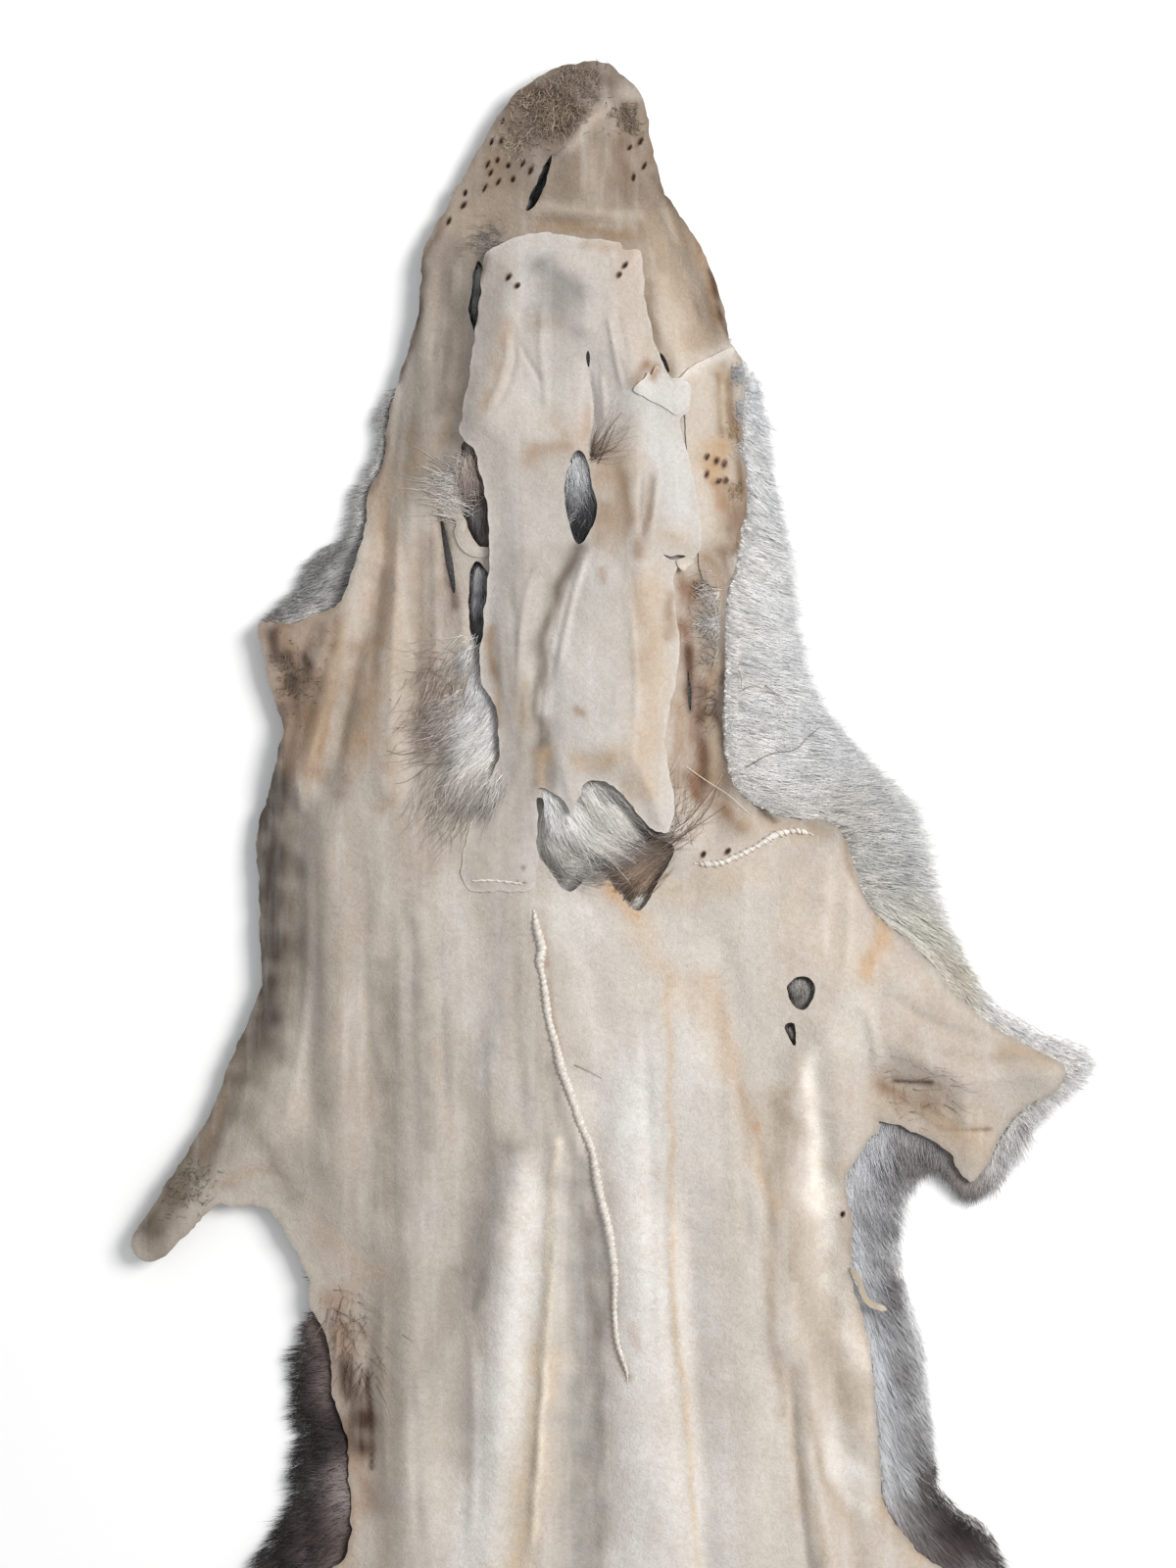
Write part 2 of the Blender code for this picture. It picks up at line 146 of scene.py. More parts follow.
# %% Outline of the hide, in millimetres across and down
HIDE_OUTLINE = {
    "muzzle": [(-13, 3), (-5, 1), (5, 0), (12, 5), (17, 10)],
    "right of the head": [
        (20, 17), (21, 25), (23, 33), (25, 42), (28, 48), (33, 55), (39, 65), (43, 75), (46, 84),
        (48, 94),
    ],
    "right cheek": [
        (51, 99), (53, 107), (52, 127), (54, 146), (52, 158), (50, 170), (47, 180), (46, 205),
        (46, 233),
    ],
    "right shoulder": [
        (51, 247), (64, 255), (81, 257), (87, 263), (91, 275), (96, 287), (108, 297), (118, 307),
    ],
    "right foreleg": [
        (123, 314), (137, 326), (155, 336), (161, 340), (158, 348), (147, 354), (139, 364), (133, 376),
        (128, 378), (121, 368), (113, 363), (99, 358), (98, 361), (90, 371), (87, 379),
    ],
    "right flank": [
        (89, 393), (89, 411), (95, 433), (97, 451), (99, 478), (101, 489), (111, 503), (124, 513),
    ],
    "right hind leg": [
        (134, 527), (148, 543), (162, 562), (168, 577), (166, 586), (157, 591), (142, 594), (127, 599),
        (118, 607),
    ],
    "right of the rump": [
        (113, 620), (107, 638), (95, 656), (76, 672), (53, 682), (30, 687), (14, 691),
    ],
    "root of the tail": [(8, 699), (0, 702), (-8, 699)],
    "left of the rump": [
        (-14, 691), (-30, 687), (-53, 682), (-76, 672), (-95, 656), (-107, 638), (-114, 620),
    ],
    "left hind leg": [
        (-120, 607), (-131, 601), (-147, 598), (-161, 597), (-169, 591), (-168, 583), (-158, 568),
        (-142, 552), (-124, 536), (-107, 523),
    ],
    "left flank": [
        (-92, 513), (-82, 505), (-80, 495), (-81, 478), (-82, 464), (-86, 452), (-88, 432), (-94, 420),
        (-94, 412),
    ],
    "left foreleg": [
        (-97, 406), (-101, 398), (-108, 388), (-118, 387), (-126, 387), (-135, 396), (-145, 405),
        (-152, 404), (-154, 398), (-148, 388), (-136, 370), (-129, 358), (-122, 341), (-114, 322),
    ],
    "left side": [
        (-110, 311), (-111, 298), (-111, 279), (-112, 263), (-108, 247), (-104, 232), (-103, 224),
    ],
    "left ear": [(-107, 213), (-110, 200), (-111, 190), (-101, 190), (-89, 186), (-82, 180)],
    "left of the neck": [
        (-76, 160), (-74, 146), (-69, 134), (-67, 117), (-62, 102), (-57, 83), (-56, 66),
    ],
    "left of the head": [(-51, 55), (-44, 42), (-37, 30), (-31, 20), (-25, 12), (-20, 8)],
}

# %% Lines that the tips of the fur reach
# How far the fur stands out past the hide, at the start and the end of a stretch of its outline.
# Below zero, the fur ends under the hide and none shows.
FUR_REACH = {
    "muzzle": (-2.5, -2.5),
    "right of the head": (-2.5, -1),
    "right flank": (17, 20),
    "right hind leg": (14, 13),
    "right of the rump": (13, 14),
    "root of the tail": (13, 13),
    "left of the rump": (14, 13),
    "left hind leg": (13, 14),
    "left foreleg": (-2, -2.5),
    "left side": (-3, -3),
    "left of the neck": (5, -3),
    "left of the head": (-3, -2.5),
}

# Where the fur doesn't follow the hide's edge, the line that its tips reach.
FUR_EDGE = {
    "right cheek": [(57, 107), (60, 124), (63, 143), (67, 163), (69, 183), (71, 197), (75, 211)],
    "right shoulder": [
        (84, 224), (98, 240), (109, 250), (114, 266), (119, 283), (127, 301), (134, 313),
    ],
    "right foreleg": [
        (144, 322), (157, 328), (170, 335), (169, 344), (155, 355), (148, 367), (138, 380), (128, 383),
        (119, 374), (111, 377),
    ],
    "left flank": [
        (-114, 512), (-108, 500), (-100, 488), (-100, 475), (-97, 466), (-100, 455), (-99, 440),
        (-95, 428), (-91, 418),
    ],
    "left ear": [(-104, 214), (-107, 202), (-108, 189), (-99, 179), (-91, 165)],
}


def moved_out(points, first, last):
    """An open stretch of outline, moved outwards by a distance that runs from first to last."""
    out = outwards(np.gradient(points, axis=0))
    return points + out * np.linspace(first, last, len(points))[:, None]


hide_corners = corners_of(HIDE_OUTLINE)
reach_corners = []
for name, stretch in HIDE_OUTLINE.items():
    if name in FUR_EDGE:
        reach_corners.extend(FUR_EDGE[name])
    else:
        reach_corners.extend(moved_out(np.array(stretch, float), *FUR_REACH[name]))
print("points of the hide", len(hide_corners), "and of the fur's reach", len(reach_corners))

# %% Outlines of the throat's skin and of its fur
THROAT_OUTLINE = {
    "tip of the jaw": [
        (-35, 68), (-29, 63), (-16, 59), (-2, 61), (8, 62), (11, 63), (12, 65), (17, 65), (18.5, 68),
    ],
    "right of the jaw": [
        (19, 80), (22, 95), (27, 107), (33, 112), (34, 118), (31, 124), (35, 139), (38, 159),
    ],
    "torn right side": [
        (37, 167), (30, 171), (29, 184), (31, 197), (28, 217), (26, 227), (27, 238), (29, 250),
        (27, 260),
    ],
    "arch over the chest": [
        (21, 259), (16, 253), (10, 246), (3, 243), (-2, 245), (-5, 254), (-10, 248), (-17, 246),
    ],
    "sewn foot": [(-17, 258), (-18, 278), (-30, 280), (-41, 279), (-42, 268)],
    "left of the throat": [
        (-37, 251), (-30, 235), (-31, 219), (-36, 208), (-35, 190), (-33, 168), (-34, 150),
    ],
    "left of the jaw": [(-38, 133), (-43, 126), (-40, 109), (-38, 93), (-36, 80)],
}

THROAT_FUR_OUTLINE = {
    "under the jaw": [(-31, 66), (-15, 62), (5, 65), (15, 71), (17, 90), (24, 108), (29, 118)],
    "right": [(31, 137), (34, 158), (28, 171), (26, 190), (26, 212), (24, 230), (25, 250)],
    "over the chest": [
        (17, 250), (9, 241), (1, 240), (-6, 249), (-13, 244), (-20, 250), (-21, 262), (-22, 275),
    ],
    "foot": [(-38, 276), (-39, 266)],
    "left": [
        (-34, 250), (-28, 235), (-29, 219), (-33, 207), (-33, 190), (-31, 170), (-32, 152), (-36, 136),
        (-40, 126), (-37, 108), (-35, 90), (-33, 76),
    ],
}

# %% Holes in the hide and in the throat's skin
HIDE_HOLES = {
    "chest": [
        (-17, 249), (-10, 252), (-3, 248), (4, 246), (12, 250), (21, 261), (29, 266), (24, 276),
        (17, 287), (10, 280), (5, 274), (0, 275), (-5, 280), (-9, 279), (-13, 273), (-17, 267),
        (-18, 258),
    ],
    "upper neck slit": [
        (-41, 129), (-33, 136), (-30, 150), (-31, 162), (-37, 164), (-42, 153), (-43, 139),
    ],
    "lower neck slit": [(-39, 171), (-34, 172), (-32, 184), (-36, 198), (-40, 190)],
    "left corner of the mouth": [(-37, 68), (-34, 75), (-36, 86), (-38, 93), (-40, 85), (-39, 76)],
    "eye": [(-12, 33), (-14, 42), (-18, 50), (-21, 51), (-18, 43), (-14, 35)],
    "shoulder": [(67, 312), (70, 309), (75, 310), (76, 316), (72, 320), (68, 317)],
    "small one on the shoulder": [(66, 326), (69, 325), (70, 329), (69, 332)],
}

THROAT_HOLE = [(-5, 134), (-8, 146), (-6, 158), (-3, 164), (1, 159), (3, 152), (1, 143), (-1, 134)]

# %% [markdown]
# Whiskers grow from thick follicles, so on the flesh side of the skin their roots leave small
# leaning pits with a brown floor and a raised rim. They are shaped in the mesh, with rings of extra
# points round each, because a dark dot painted on the surface looks flat from the side.

# %% Whisker pits, in the picture's pixels
HIDE_PITS = [
    (512, 122), (511, 142), (501, 143), (507, 162), (518, 168), (500, 175), (533, 167), (541, 175),
    (508, 185), (523, 183), (494, 191), (474, 195), (472, 208), (457, 224), (497, 166),
    (642, 150), (653, 143), (657, 168), (646, 180),
    (721, 466), (731, 470), (739, 473), (721, 484), (733, 491), (740, 490),
    (860, 1240), (717, 872), (742, 869),
]
THROAT_PITS = [(519, 287), (528, 296), (637, 274), (631, 284)]
PIT_SIZE = (0.9, 1.45)
PIT_DEPTH = 1.1
PIT_LIP = 0.22
PIT_LIP_AT = 1.35
PIT_LIP_WIDE = 0.35
PIT_LEAN = 0.6
PIT_BROWN = (122, 92, 74)
PIT_DARK = (50, 36, 32)
# The points in each ring of a pit, by the ring's share of the pit's half size.
PIT_RINGS = {0.0: 1, 0.5: 6, 0.85: 10, 1.15: 12, 1.6: 12}


class Pits:
    """Small leaning ovals, each with its middle, its half sizes and its lean."""

    def __init__(self, pixels, seed):
        rng = np.random.default_rng(seed)
        self.middles = in_plan(pixels)
        self.half = np.array(PIT_SIZE) * rng.uniform(0.7, 1.15, (len(pixels), 2))
        self.lean = rng.uniform(0.2, 0.9, len(pixels))
        self.tree = KDTree(len(pixels))
        for i, (x, y) in enumerate(self.middles):
            self.tree.insert((x, y, 0), i)
        self.tree.balance()

    def away(self, points):
        """How far each point is from the nearest pit's middle, in half sizes of that pit."""
        nearest = np.array([self.tree.find((x, y, 0))[1] for x, y in points])
        offset = points - self.middles[nearest]
        across = offset[:, 0] + self.lean[nearest] * offset[:, 1] * PIT_LEAN
        return np.hypot(across / self.half[nearest, 0], offset[:, 1] / self.half[nearest, 1])

    def rings(self):
        """Points in rings round every pit, for its shape."""
        rings = []
        for middle, half, lean in zip(self.middles, self.half, self.lean):
            for share, count in PIT_RINGS.items():
                turn = np.linspace(0, 2 * np.pi, count, endpoint=False) + share
                down = share * half[1] * np.sin(turn)
                across = share * half[0] * np.cos(turn) - lean * PIT_LEAN * down
                rings.append(middle + np.stack([across, down], axis=1))
        return np.vstack(rings)

    def height(self, points):
        away = self.away(points)
        lip = PIT_LIP * np.exp(-((away - PIT_LIP_AT) / PIT_LIP_WIDE) ** 2)
        return lip - PIT_DEPTH * eased(1.8 - 1.7 * away)

    def darkened(self, points, colour):
        """The colours with the pits' brown floors."""
        away = self.away(points)
        colour = blended(colour, seen(*PIT_BROWN), 0.8 * eased(1.9 - 1.25 * away)[:, None])
        return blended(colour, seen(*PIT_DARK), eased(1.7 - 1.9 * away)[:, None])


hide_pits = Pits(HIDE_PITS, 3)
throat_pits = Pits(THROAT_PITS, 4)
print("whisker pits", len(HIDE_PITS) + len(THROAT_PITS))

# %% Slits, in the picture's pixels
HIDE_SLITS = [
    [(673, 361), (677, 364), (681, 372), (683, 381), (678, 378), (675, 370)],
    [(702, 683), (704, 692), (706, 708), (705, 725), (703, 720), (702, 704)],
    [(449, 527), (453, 535), (457, 552), (462, 572), (465, 600), (462, 604), (456, 580), (452, 556)],
]
THROAT_SLITS = [
    [(600, 361), (602, 367), (601, 378), (599, 374), (598, 366)],
    [(676, 567), (684, 569), (692, 567), (700, 568), (692, 571), (684, 572)],
]
SLIT_STEP = 0.7


def slit_loops(slits):
    return [closed_curve(in_plan(slit), SLIT_STEP) for slit in slits]


# %% [markdown]
# Two questions come up for every point of a sheet: is it inside an outline, and how far is it
# from one. The first counts how often a line to the right crosses the outline, and with the points
# sorted by height, each bit of outline looks only at the few on its own level. The second is quick
# with a KD tree, which sorts the outline's points so that the nearest is found at once.

# %% Inside an outline, and distance from it
def inside(points, loop):
    """For each point, whether it lies inside the closed loop."""
    order = np.argsort(points[:, 1])
    x, y = points[order, 0], points[order, 1]
    ends = np.roll(loop, -1, axis=0)
    first = np.searchsorted(y, np.minimum(loop[:, 1], ends[:, 1]))
    last = np.searchsorted(y, np.maximum(loop[:, 1], ends[:, 1]))
    odd = np.zeros(len(points), bool)
    for i in np.flatnonzero(last > first):
        level = slice(first[i], last[i])
        share = (y[level] - loop[i, 1]) / (ends[i, 1] - loop[i, 1])
        odd[level] ^= x[level] < loop[i, 0] + share * (ends[i, 0] - loop[i, 0])
    answer = np.zeros(len(points), bool)
    answer[order] = odd
    return answer


class Line:
    """A line in the plan, ready for finding distances from it."""

    def __init__(self, points):
        self.points = points
        self.tree = KDTree(len(points))
        for i, (x, y) in enumerate(points):
            self.tree.insert((x, y, 0), i)
        self.tree.balance()

    def distance(self, points):
        return np.array([self.tree.find((x, y, 0))[2] for x, y in points])

    def nearest(self, points):
        return np.array([self.tree.find((x, y, 0))[1] for x, y in points])


LINE_STEP = 0.6

throat_corners = corners_of(THROAT_OUTLINE)
hide_line = Line(closed_curve(hide_corners, LINE_STEP))
reach_line = Line(closed_curve(reach_corners, LINE_STEP))
throat_line = Line(closed_curve(throat_corners, LINE_STEP))
print("round the hide %.0f mm" % (LINE_STEP * len(hide_line.points)))

# %% [markdown]
# A skin that has been pulled and dried keeps long soft folds. Each is a path with a half width
# and a height: a ridge if the height is positive and a trough if it is negative. The broad ones
# are those of the solids. The finer ones are read off the picture, and fade out at both ends.

# %% Broad folds of the hide and of the throat, in millimetres
Fold = namedtuple("Fold", "across down end_across end_down half_width height")

HIDE_FOLDS = [
    Fold(13, 17, -3, 42, 9, 2.4),
    Fold(-33, 58, 27, 55, 6, -2.6),
    Fold(31, 52, 46, 90, 5, 2.2),
    Fold(26, 66, 39, 102, 7, -2.4),
    Fold(-52, 72, -61, 176, 5, 1.8),
    Fold(-45, 84, -52, 190, 6, -2.0),
    Fold(-77, 168, -99, 246, 6, 3.2),
    Fold(-70, 178, -90, 244, 5, -2.4),
    Fold(-66, 176, -67, 245, 6, 2.4),
    Fold(-58, 166, -60, 240, 6, -2.0),
    Fold(38, 172, 42, 258, 7, -3.6),
    Fold(48, 190, 49, 244, 5, 1.8),
    Fold(52, 252, 80, 262, 5, -2.0),
    Fold(84, 262, 80, 280, 6, 2.4),
    Fold(-97, 252, -94, 352, 6, -2.6),
    Fold(-89, 262, -84, 372, 7, 2.2),
    Fold(-73, 318, -74, 486, 8, -2.4),
    Fold(-57, 408, -64, 560, 8, 2.8),
    Fold(-41, 356, -48, 470, 9, -3.4),
    Fold(-24, 368, -33, 520, 8, 3.6),
    Fold(-9, 366, -22, 600, 5, 2.8),
    Fold(1, 350, -2, 610, 9, -3.6),
    Fold(19, 400, 30, 640, 13, 3.2),
    Fold(33, 396, 42, 560, 5, -1.8),
    Fold(52, 350, 58, 600, 11, 2.8),
    Fold(45, 300, 52, 395, 6, -1.8),
    Fold(72, 338, 67, 430, 7, 2.8),
    Fold(80, 330, 92, 420, 7, 2.4),
    Fold(75, 340, 81, 420, 6, -2.6),
    Fold(74, 440, 86, 560, 5, 2.6),
    Fold(82, 440, 94, 560, 5, -2.4),
    Fold(106, 312, 154, 340, 7, 2.0),
    Fold(100, 344, 136, 358, 8, -1.6),
    Fold(-112, 362, -142, 396, 8, 1.6),
    Fold(-86, 520, -80, 640, 11, -2.2),
    Fold(76, 560, 70, 650, 12, -2.0),
    Fold(-120, 560, -152, 588, 9, 1.8),
    Fold(110, 552, 150, 578, 9, 1.8),
]

THROAT_FOLDS = [
    Fold(-28, 84, -36, 120, 8, 1.2),
    Fold(14, 100, 17, 170, 5, 1.4),
    Fold(1, 104, 1, 132, 4, -1.2),
    Fold(10, 180, 8, 236, 13, 2.2),
    Fold(-3, 168, -15, 206, 5, -2.2),
    Fold(-15, 206, -16, 246, 5, -2.2),
    Fold(-24, 168, -24, 246, 7, 1.4),
]

# %% Finer creases, each a path in the picture's pixels with sizes in millimetres
Crease = namedtuple("Crease", "half_width height path")

HIDE_CREASES = [
    # The long folds of the back and the belly
    Crease(1.3, 1.0, [(571, 1161), (567, 1260), (554, 1423), (544, 1566), (538, 1640)]),
    Crease(2.2, -0.8, [(586, 1190), (584, 1290), (574, 1430), (566, 1600)]),
    Crease(1.4, 0.6, [(685, 1163), (685, 1267), (692, 1353), (702, 1456), (712, 1600)]),
    Crease(1.8, -0.6, [(676, 1180), (678, 1300), (690, 1440), (700, 1600)]),
    Crease(1.6, -1.3, [(805, 1387), (812, 1501), (829, 1640)]),
    Crease(1.4, -1.1, [(829, 1439), (833, 1490), (847, 1542), (862, 1620)]),
    Crease(2.4, 1.0, [(809, 1063), (822, 1120), (818, 1230), (803, 1390)]),
    Crease(2.4, -0.8, [(771, 1146), (778, 1208), (790, 1290)]),
    Crease(3.0, 0.8, [(740, 960), (744, 1100), (752, 1300)]),
    Crease(2.0, -0.5, [(655, 1000), (662, 1160), (668, 1400)]),
    Crease(2.6, 0.6, [(500, 1010), (502, 1110), (512, 1250)]),
    Crease(2.2, -0.7, [(522, 930), (526, 1060), (540, 1200)]),
    Crease(3.0, -1.1, [(398, 900), (398, 1100), (404, 1330)]),
    Crease(2.0, 0.8, [(427, 900), (430, 1060), (436, 1240)]),
    Crease(1.8, -0.6, [(446, 930), (452, 1080), (458, 1220)]),
    Crease(1.8, 1.1, [(309, 815), (314, 920), (308, 1060), (285, 1170)]),
    Crease(2.6, 0.7, [(352, 860), (352, 1010), (350, 1210)]),
    Crease(2.0, -0.6, [(372, 850), (374, 1000), (372, 1200)]),
    Crease(1.1, -1.0, [(378, 1340), (375, 1420), (377, 1500)]),
    Crease(1.6, 0.8, [(392, 1300), (390, 1400), (395, 1540)]),
    Crease(1.5, -0.7, [(420, 1380), (424, 1470), (428, 1600)]),
    Crease(1.6, 0.7, [(478, 1330), (484, 1450), (480, 1600)]),
    # The forelegs
    Crease(1.0, 0.9, [(225, 1213), (243, 1203), (268, 1196)]),
    Crease(1.6, -0.7, [(236, 1100), (220, 1150), (190, 1200)]),
    Crease(1.6, 0.6, [(258, 1080), (240, 1140), (200, 1215)]),
    Crease(1.0, -0.7, [(868, 982), (888, 986), (910, 989)]),
    Crease(1.2, -0.8, [(905, 1103), (930, 1106), (962, 1112)]),
    Crease(1.6, 0.7, [(940, 1066), (1000, 1073), (1071, 1076)]),
    Crease(1.2, -0.7, [(960, 1146), (985, 1152), (1015, 1155)]),
    Crease(1.8, -0.8, [(900, 1010), (950, 1045), (1010, 1062)]),
    Crease(1.8, 0.8, [(872, 1010), (890, 1050), (896, 1100)]),
    Crease(1.4, -0.7, [(850, 860), (852, 920), (846, 980)]),
    Crease(1.6, 0.8, [(866, 880), (866, 950), (858, 1010)]),
    # The left ear, a fan of ridges
    Crease(1.5, 1.1, [(358, 625), (345, 690), (326, 748), (313, 795)]),
    Crease(1.2, -0.9, [(348, 622), (332, 680), (312, 740), (300, 790)]),
    Crease(1.1, 0.7, [(338, 624), (320, 680), (300, 740)]),
    Crease(1.0, -0.6, [(322, 628), (304, 672), (292, 720)]),
    Crease(1.6, 1.2, [(300, 718), (286, 760), (276, 815)]),
    Crease(1.4, 1.4, [(306, 796), (310, 812), (306, 832)]),
    Crease(1.6, -0.8, [(370, 640), (356, 720), (340, 800)]),
    # The left of the neck
    Crease(1.4, 0.9, [(407, 470), (405, 560), (402, 700), (396, 790)]),
    Crease(1.4, -0.9, [(393, 500), (388, 600), (378, 720)]),
    Crease(1.6, -0.8, [(424, 470), (426, 580), (424, 720)]),
    Crease(1.4, 0.8, [(440, 480), (444, 580), (446, 700)]),
    Crease(1.2, -1.2, [(450, 525), (456, 570), (462, 622)]),
    Crease(1.4, 0.8, [(470, 600), (474, 650), (470, 700)]),
    # The left of the head
    Crease(1.2, 0.7, [(440, 250), (434, 310), (424, 380)]),
    Crease(1.2, -0.7, [(450, 252), (446, 320), (438, 400)]),
    Crease(1.2, 0.6, [(463, 255), (460, 330), (452, 410)]),
    Crease(1.1, -0.7, [(473, 290), (468, 360), (460, 430)]),
    Crease(1.1, 0.7, [(420, 370), (412, 430), (404, 490)]),
    # The snout
    Crease(1.4, -0.9, [(520, 216), (545, 226), (590, 229), (640, 229)]),
    Crease(1.4, 0.8, [(540, 214), (590, 218), (650, 222)]),
    Crease(1.2, 0.8, [(610, 110), (592, 130), (572, 158)]),
    Crease(1.2, -0.7, [(622, 112), (612, 150), (606, 190)]),
    Crease(1.4, 0.8, [(566, 160), (562, 178), (552, 208)]),
    Crease(1.2, 0.6, [(640, 190), (652, 220), (668, 250)]),
    # The right of the head and neck
    Crease(1.2, 0.9, [(672, 200), (690, 250), (706, 310)]),
    Crease(1.2, -0.9, [(684, 236), (702, 290), (716, 340)]),
    Crease(1.3, 0.7, [(716, 268), (728, 310), (738, 350)]),
    Crease(1.6, -1.4, [(708, 590), (702, 640), (708, 730), (718, 800)]),
    Crease(1.4, 0.9, [(726, 610), (724, 700), (730, 780)]),
    Crease(1.2, -0.8, [(736, 640), (734, 720), (742, 800)]),
    Crease(1.2, -0.9, [(760, 830), (790, 842), (830, 844)]),
    Crease(1.1, 0.8, [(770, 822), (800, 838), (846, 840)]),
]

THROAT_CREASES = [
    Crease(0.8, -0.9, [(600, 376), (604, 400), (607, 425), (607, 448)]),
    Crease(0.9, 0.6, [(612, 380), (616, 410), (616, 440)]),
    Crease(0.8, 0.8, [(619, 318), (624, 348), (630, 380), (637, 408)]),
    Crease(1.0, -0.5, [(628, 312), (634, 344), (641, 378)]),
    Crease(0.9, -0.6, [(556, 400), (540, 372), (528, 350)]),
    Crease(1.2, 0.6, [(518, 336), (518, 366), (508, 400), (496, 424)]),
    Crease(1.1, -0.7, [(526, 340), (526, 368), (516, 402), (502, 428)]),
    Crease(1.2, 0.5, [(555, 300), (552, 360), (560, 430)]),
    Crease(0.8, 0.8, [(671, 482), (667, 520), (660, 556)]),
    Crease(0.8, -0.6, [(664, 480), (660, 516), (653, 552)]),
    Crease(0.9, -0.8, [(655, 480), (652, 520), (655, 558)]),
    Crease(1.0, -0.9, [(592, 556), (574, 600), (558, 664), (551, 720), (548, 796)]),
    Crease(1.2, 0.9, [(606, 548), (590, 590), (578, 640), (566, 700)]),
    Crease(1.1, 0.6, [(558, 556), (540, 600), (530, 660), (528, 740)]),
    Crease(1.4, -0.5, [(520, 580), (526, 660), (532, 760)]),
    Crease(1.2, 0.5, [(508, 600), (512, 680), (520, 740)]),
    Crease(1.3, 0.5, [(640, 600), (648, 680), (650, 760)]),
    Crease(0.9, 0.5, [(684, 640), (682, 700), (678, 760)]),
]

# %% [markdown]
# One measure serves for folds, creases and stains alike: how near a point is to a path, from 1 on
# the path to 0 far away. Only the points in the path's own box are worked out, which keeps it
# quick with hundreds of paths and tens of thousands of points.

# %% How near each point is to a path
FAR = 2.6
PATH_STEP = 7.0


def eased(share):
    """A share from 0 to 1, with its start and end made smooth."""
    share = np.clip(share, 0, 1)
    return share * share * (3 - 2 * share)


def nearness(points, path, half_width, fades=False):
    """1 on the path and 0 far from it. Where it fades, it is 0 at the path's two ends as well."""
    near = np.zeros(len(points))
    reach = FAR * half_width
    box = ((points > path.min(axis=0) - reach) & (points < path.max(axis=0) + reach)).all(axis=1)
    some = np.flatnonzero(box)
    if len(some) == 0:
        return near
    if len(path) == 1:
        near[some] = np.exp(-(np.linalg.norm(points[some] - path[0], axis=1) / half_width) ** 2)
        return near
    start, run = path[:-1], np.diff(path, axis=0)
    offset = points[some, None, :] - start
    along = np.clip((offset * run).sum(axis=2) / np.maximum((run**2).sum(axis=1), 1e-9), 0, 1)
    away = np.linalg.norm(offset - along[:, :, None] * run, axis=2)
    best = away.argmin(axis=1)
    rows = np.arange(len(some))
    near[some] = np.exp(-(away[rows, best] / half_width) ** 2)
    if fades:
        share = (best + along[rows, best]) / len(run)
        near[some] *= eased(4 * np.minimum(share, 1 - share))
    return near


WAVES = 14


def wobble(points, size, seed):
    """A smooth uneven field between about -1 and 1, with bumps of about the size given."""
    rng = np.random.default_rng(seed)
    heading = rng.uniform(0, 2 * np.pi, WAVES)
    length = size * rng.uniform(1.2, 3.0, WAVES)
    phase = rng.uniform(0, 2 * np.pi, WAVES)
    field = np.zeros(len(points))
    for turn, long, start in zip(heading, length, phase):
        along = points[:, 0] * np.cos(turn) + points[:, 1] * np.sin(turn)
        field += np.sin(along * 2 * np.pi / long + start)
    return field / math.sqrt(WAVES)


def wobbled(points, wobbles):
    """Several wobbles in one, each with its height, its size and its seed."""
    return sum(high * wobble(points, size, seed) for high, size, seed in wobbles)


# %% [markdown]
# Height is what turns the flat plan into a lying skin. The hide rises from its rim towards the
# middle, because the fur under it is crushed least there, and the folds are added on top. The
# throat's skin lies on the hide with a thin layer of fur between the two.

# %% Heights of the two sheets
HIDE_THICK = 1.6
THROAT_THICK = 1.4
GAP = 0.4
HIDE_LOFT = 13.0
HIDE_RIM = 6.5
HIDE_LOWEST = 4.5
LOFT_RUN = 30.0
THROAT_FUR_THICK = 3.4
THROAT_FUR_RIM = 0.9
THROAT_RUN = 13.0
# The throat's skin is sewn down below this line, and left of this one.
SEWN_START = 228.0
SEWN_RUN = 24.0
SEWN_SIDE = -10.0
SEWN_SIDE_RUN = 5.0
SEWN_FLAT = 0.97
SEWN_PARED = 0.7
HIDE_WOBBLES = [(0.45, 22, 1), (0.16, 7, 2), (0.05, 2.6, 8)]
THROAT_WOBBLES = [(0.12, 6, 11), (0.05, 2.4, 12)]


def folds_at(points, folds, creases):
    height = np.zeros(len(points))
    for fold in folds:
        path = np.array([(fold.across, fold.down), (fold.end_across, fold.end_down)], float)
        height += fold.height * nearness(points, path, fold.half_width)
    for crease in creases:
        path = open_curve(in_plan(crease.path), PATH_STEP)
        height += crease.height * nearness(points, path, crease.half_width, fades=True)
    return height


def lofted(points, creases):
    """The hide's height over the fur, with its folds and the creases given."""
    height = HIDE_RIM + (HIDE_LOFT - HIDE_RIM) * eased(hide_line.distance(points) / LOFT_RUN)
    return height + folds_at(points, HIDE_FOLDS, creases)


def hide_top(points):
    height = lofted(points, HIDE_CREASES) + wobbled(points, HIDE_WOBBLES)
    return np.maximum(height + hide_pits.height(points), HIDE_LOWEST)


def smooth_hide_top(points):
    """The hide's height without its finest creases, for what lies loosely over them."""
    return np.maximum(lofted(points, []) + wobbled(points, HIDE_WOBBLES[:1]), HIDE_LOWEST)


def sewn_down(points):
    """1 at the foot of the throat's skin, where it is pared thin and sewn down flat, and else 0."""
    left = eased((SEWN_SIDE - points[:, 0]) / SEWN_SIDE_RUN)
    return eased((points[:, 1] - SEWN_START) / SEWN_RUN) * left


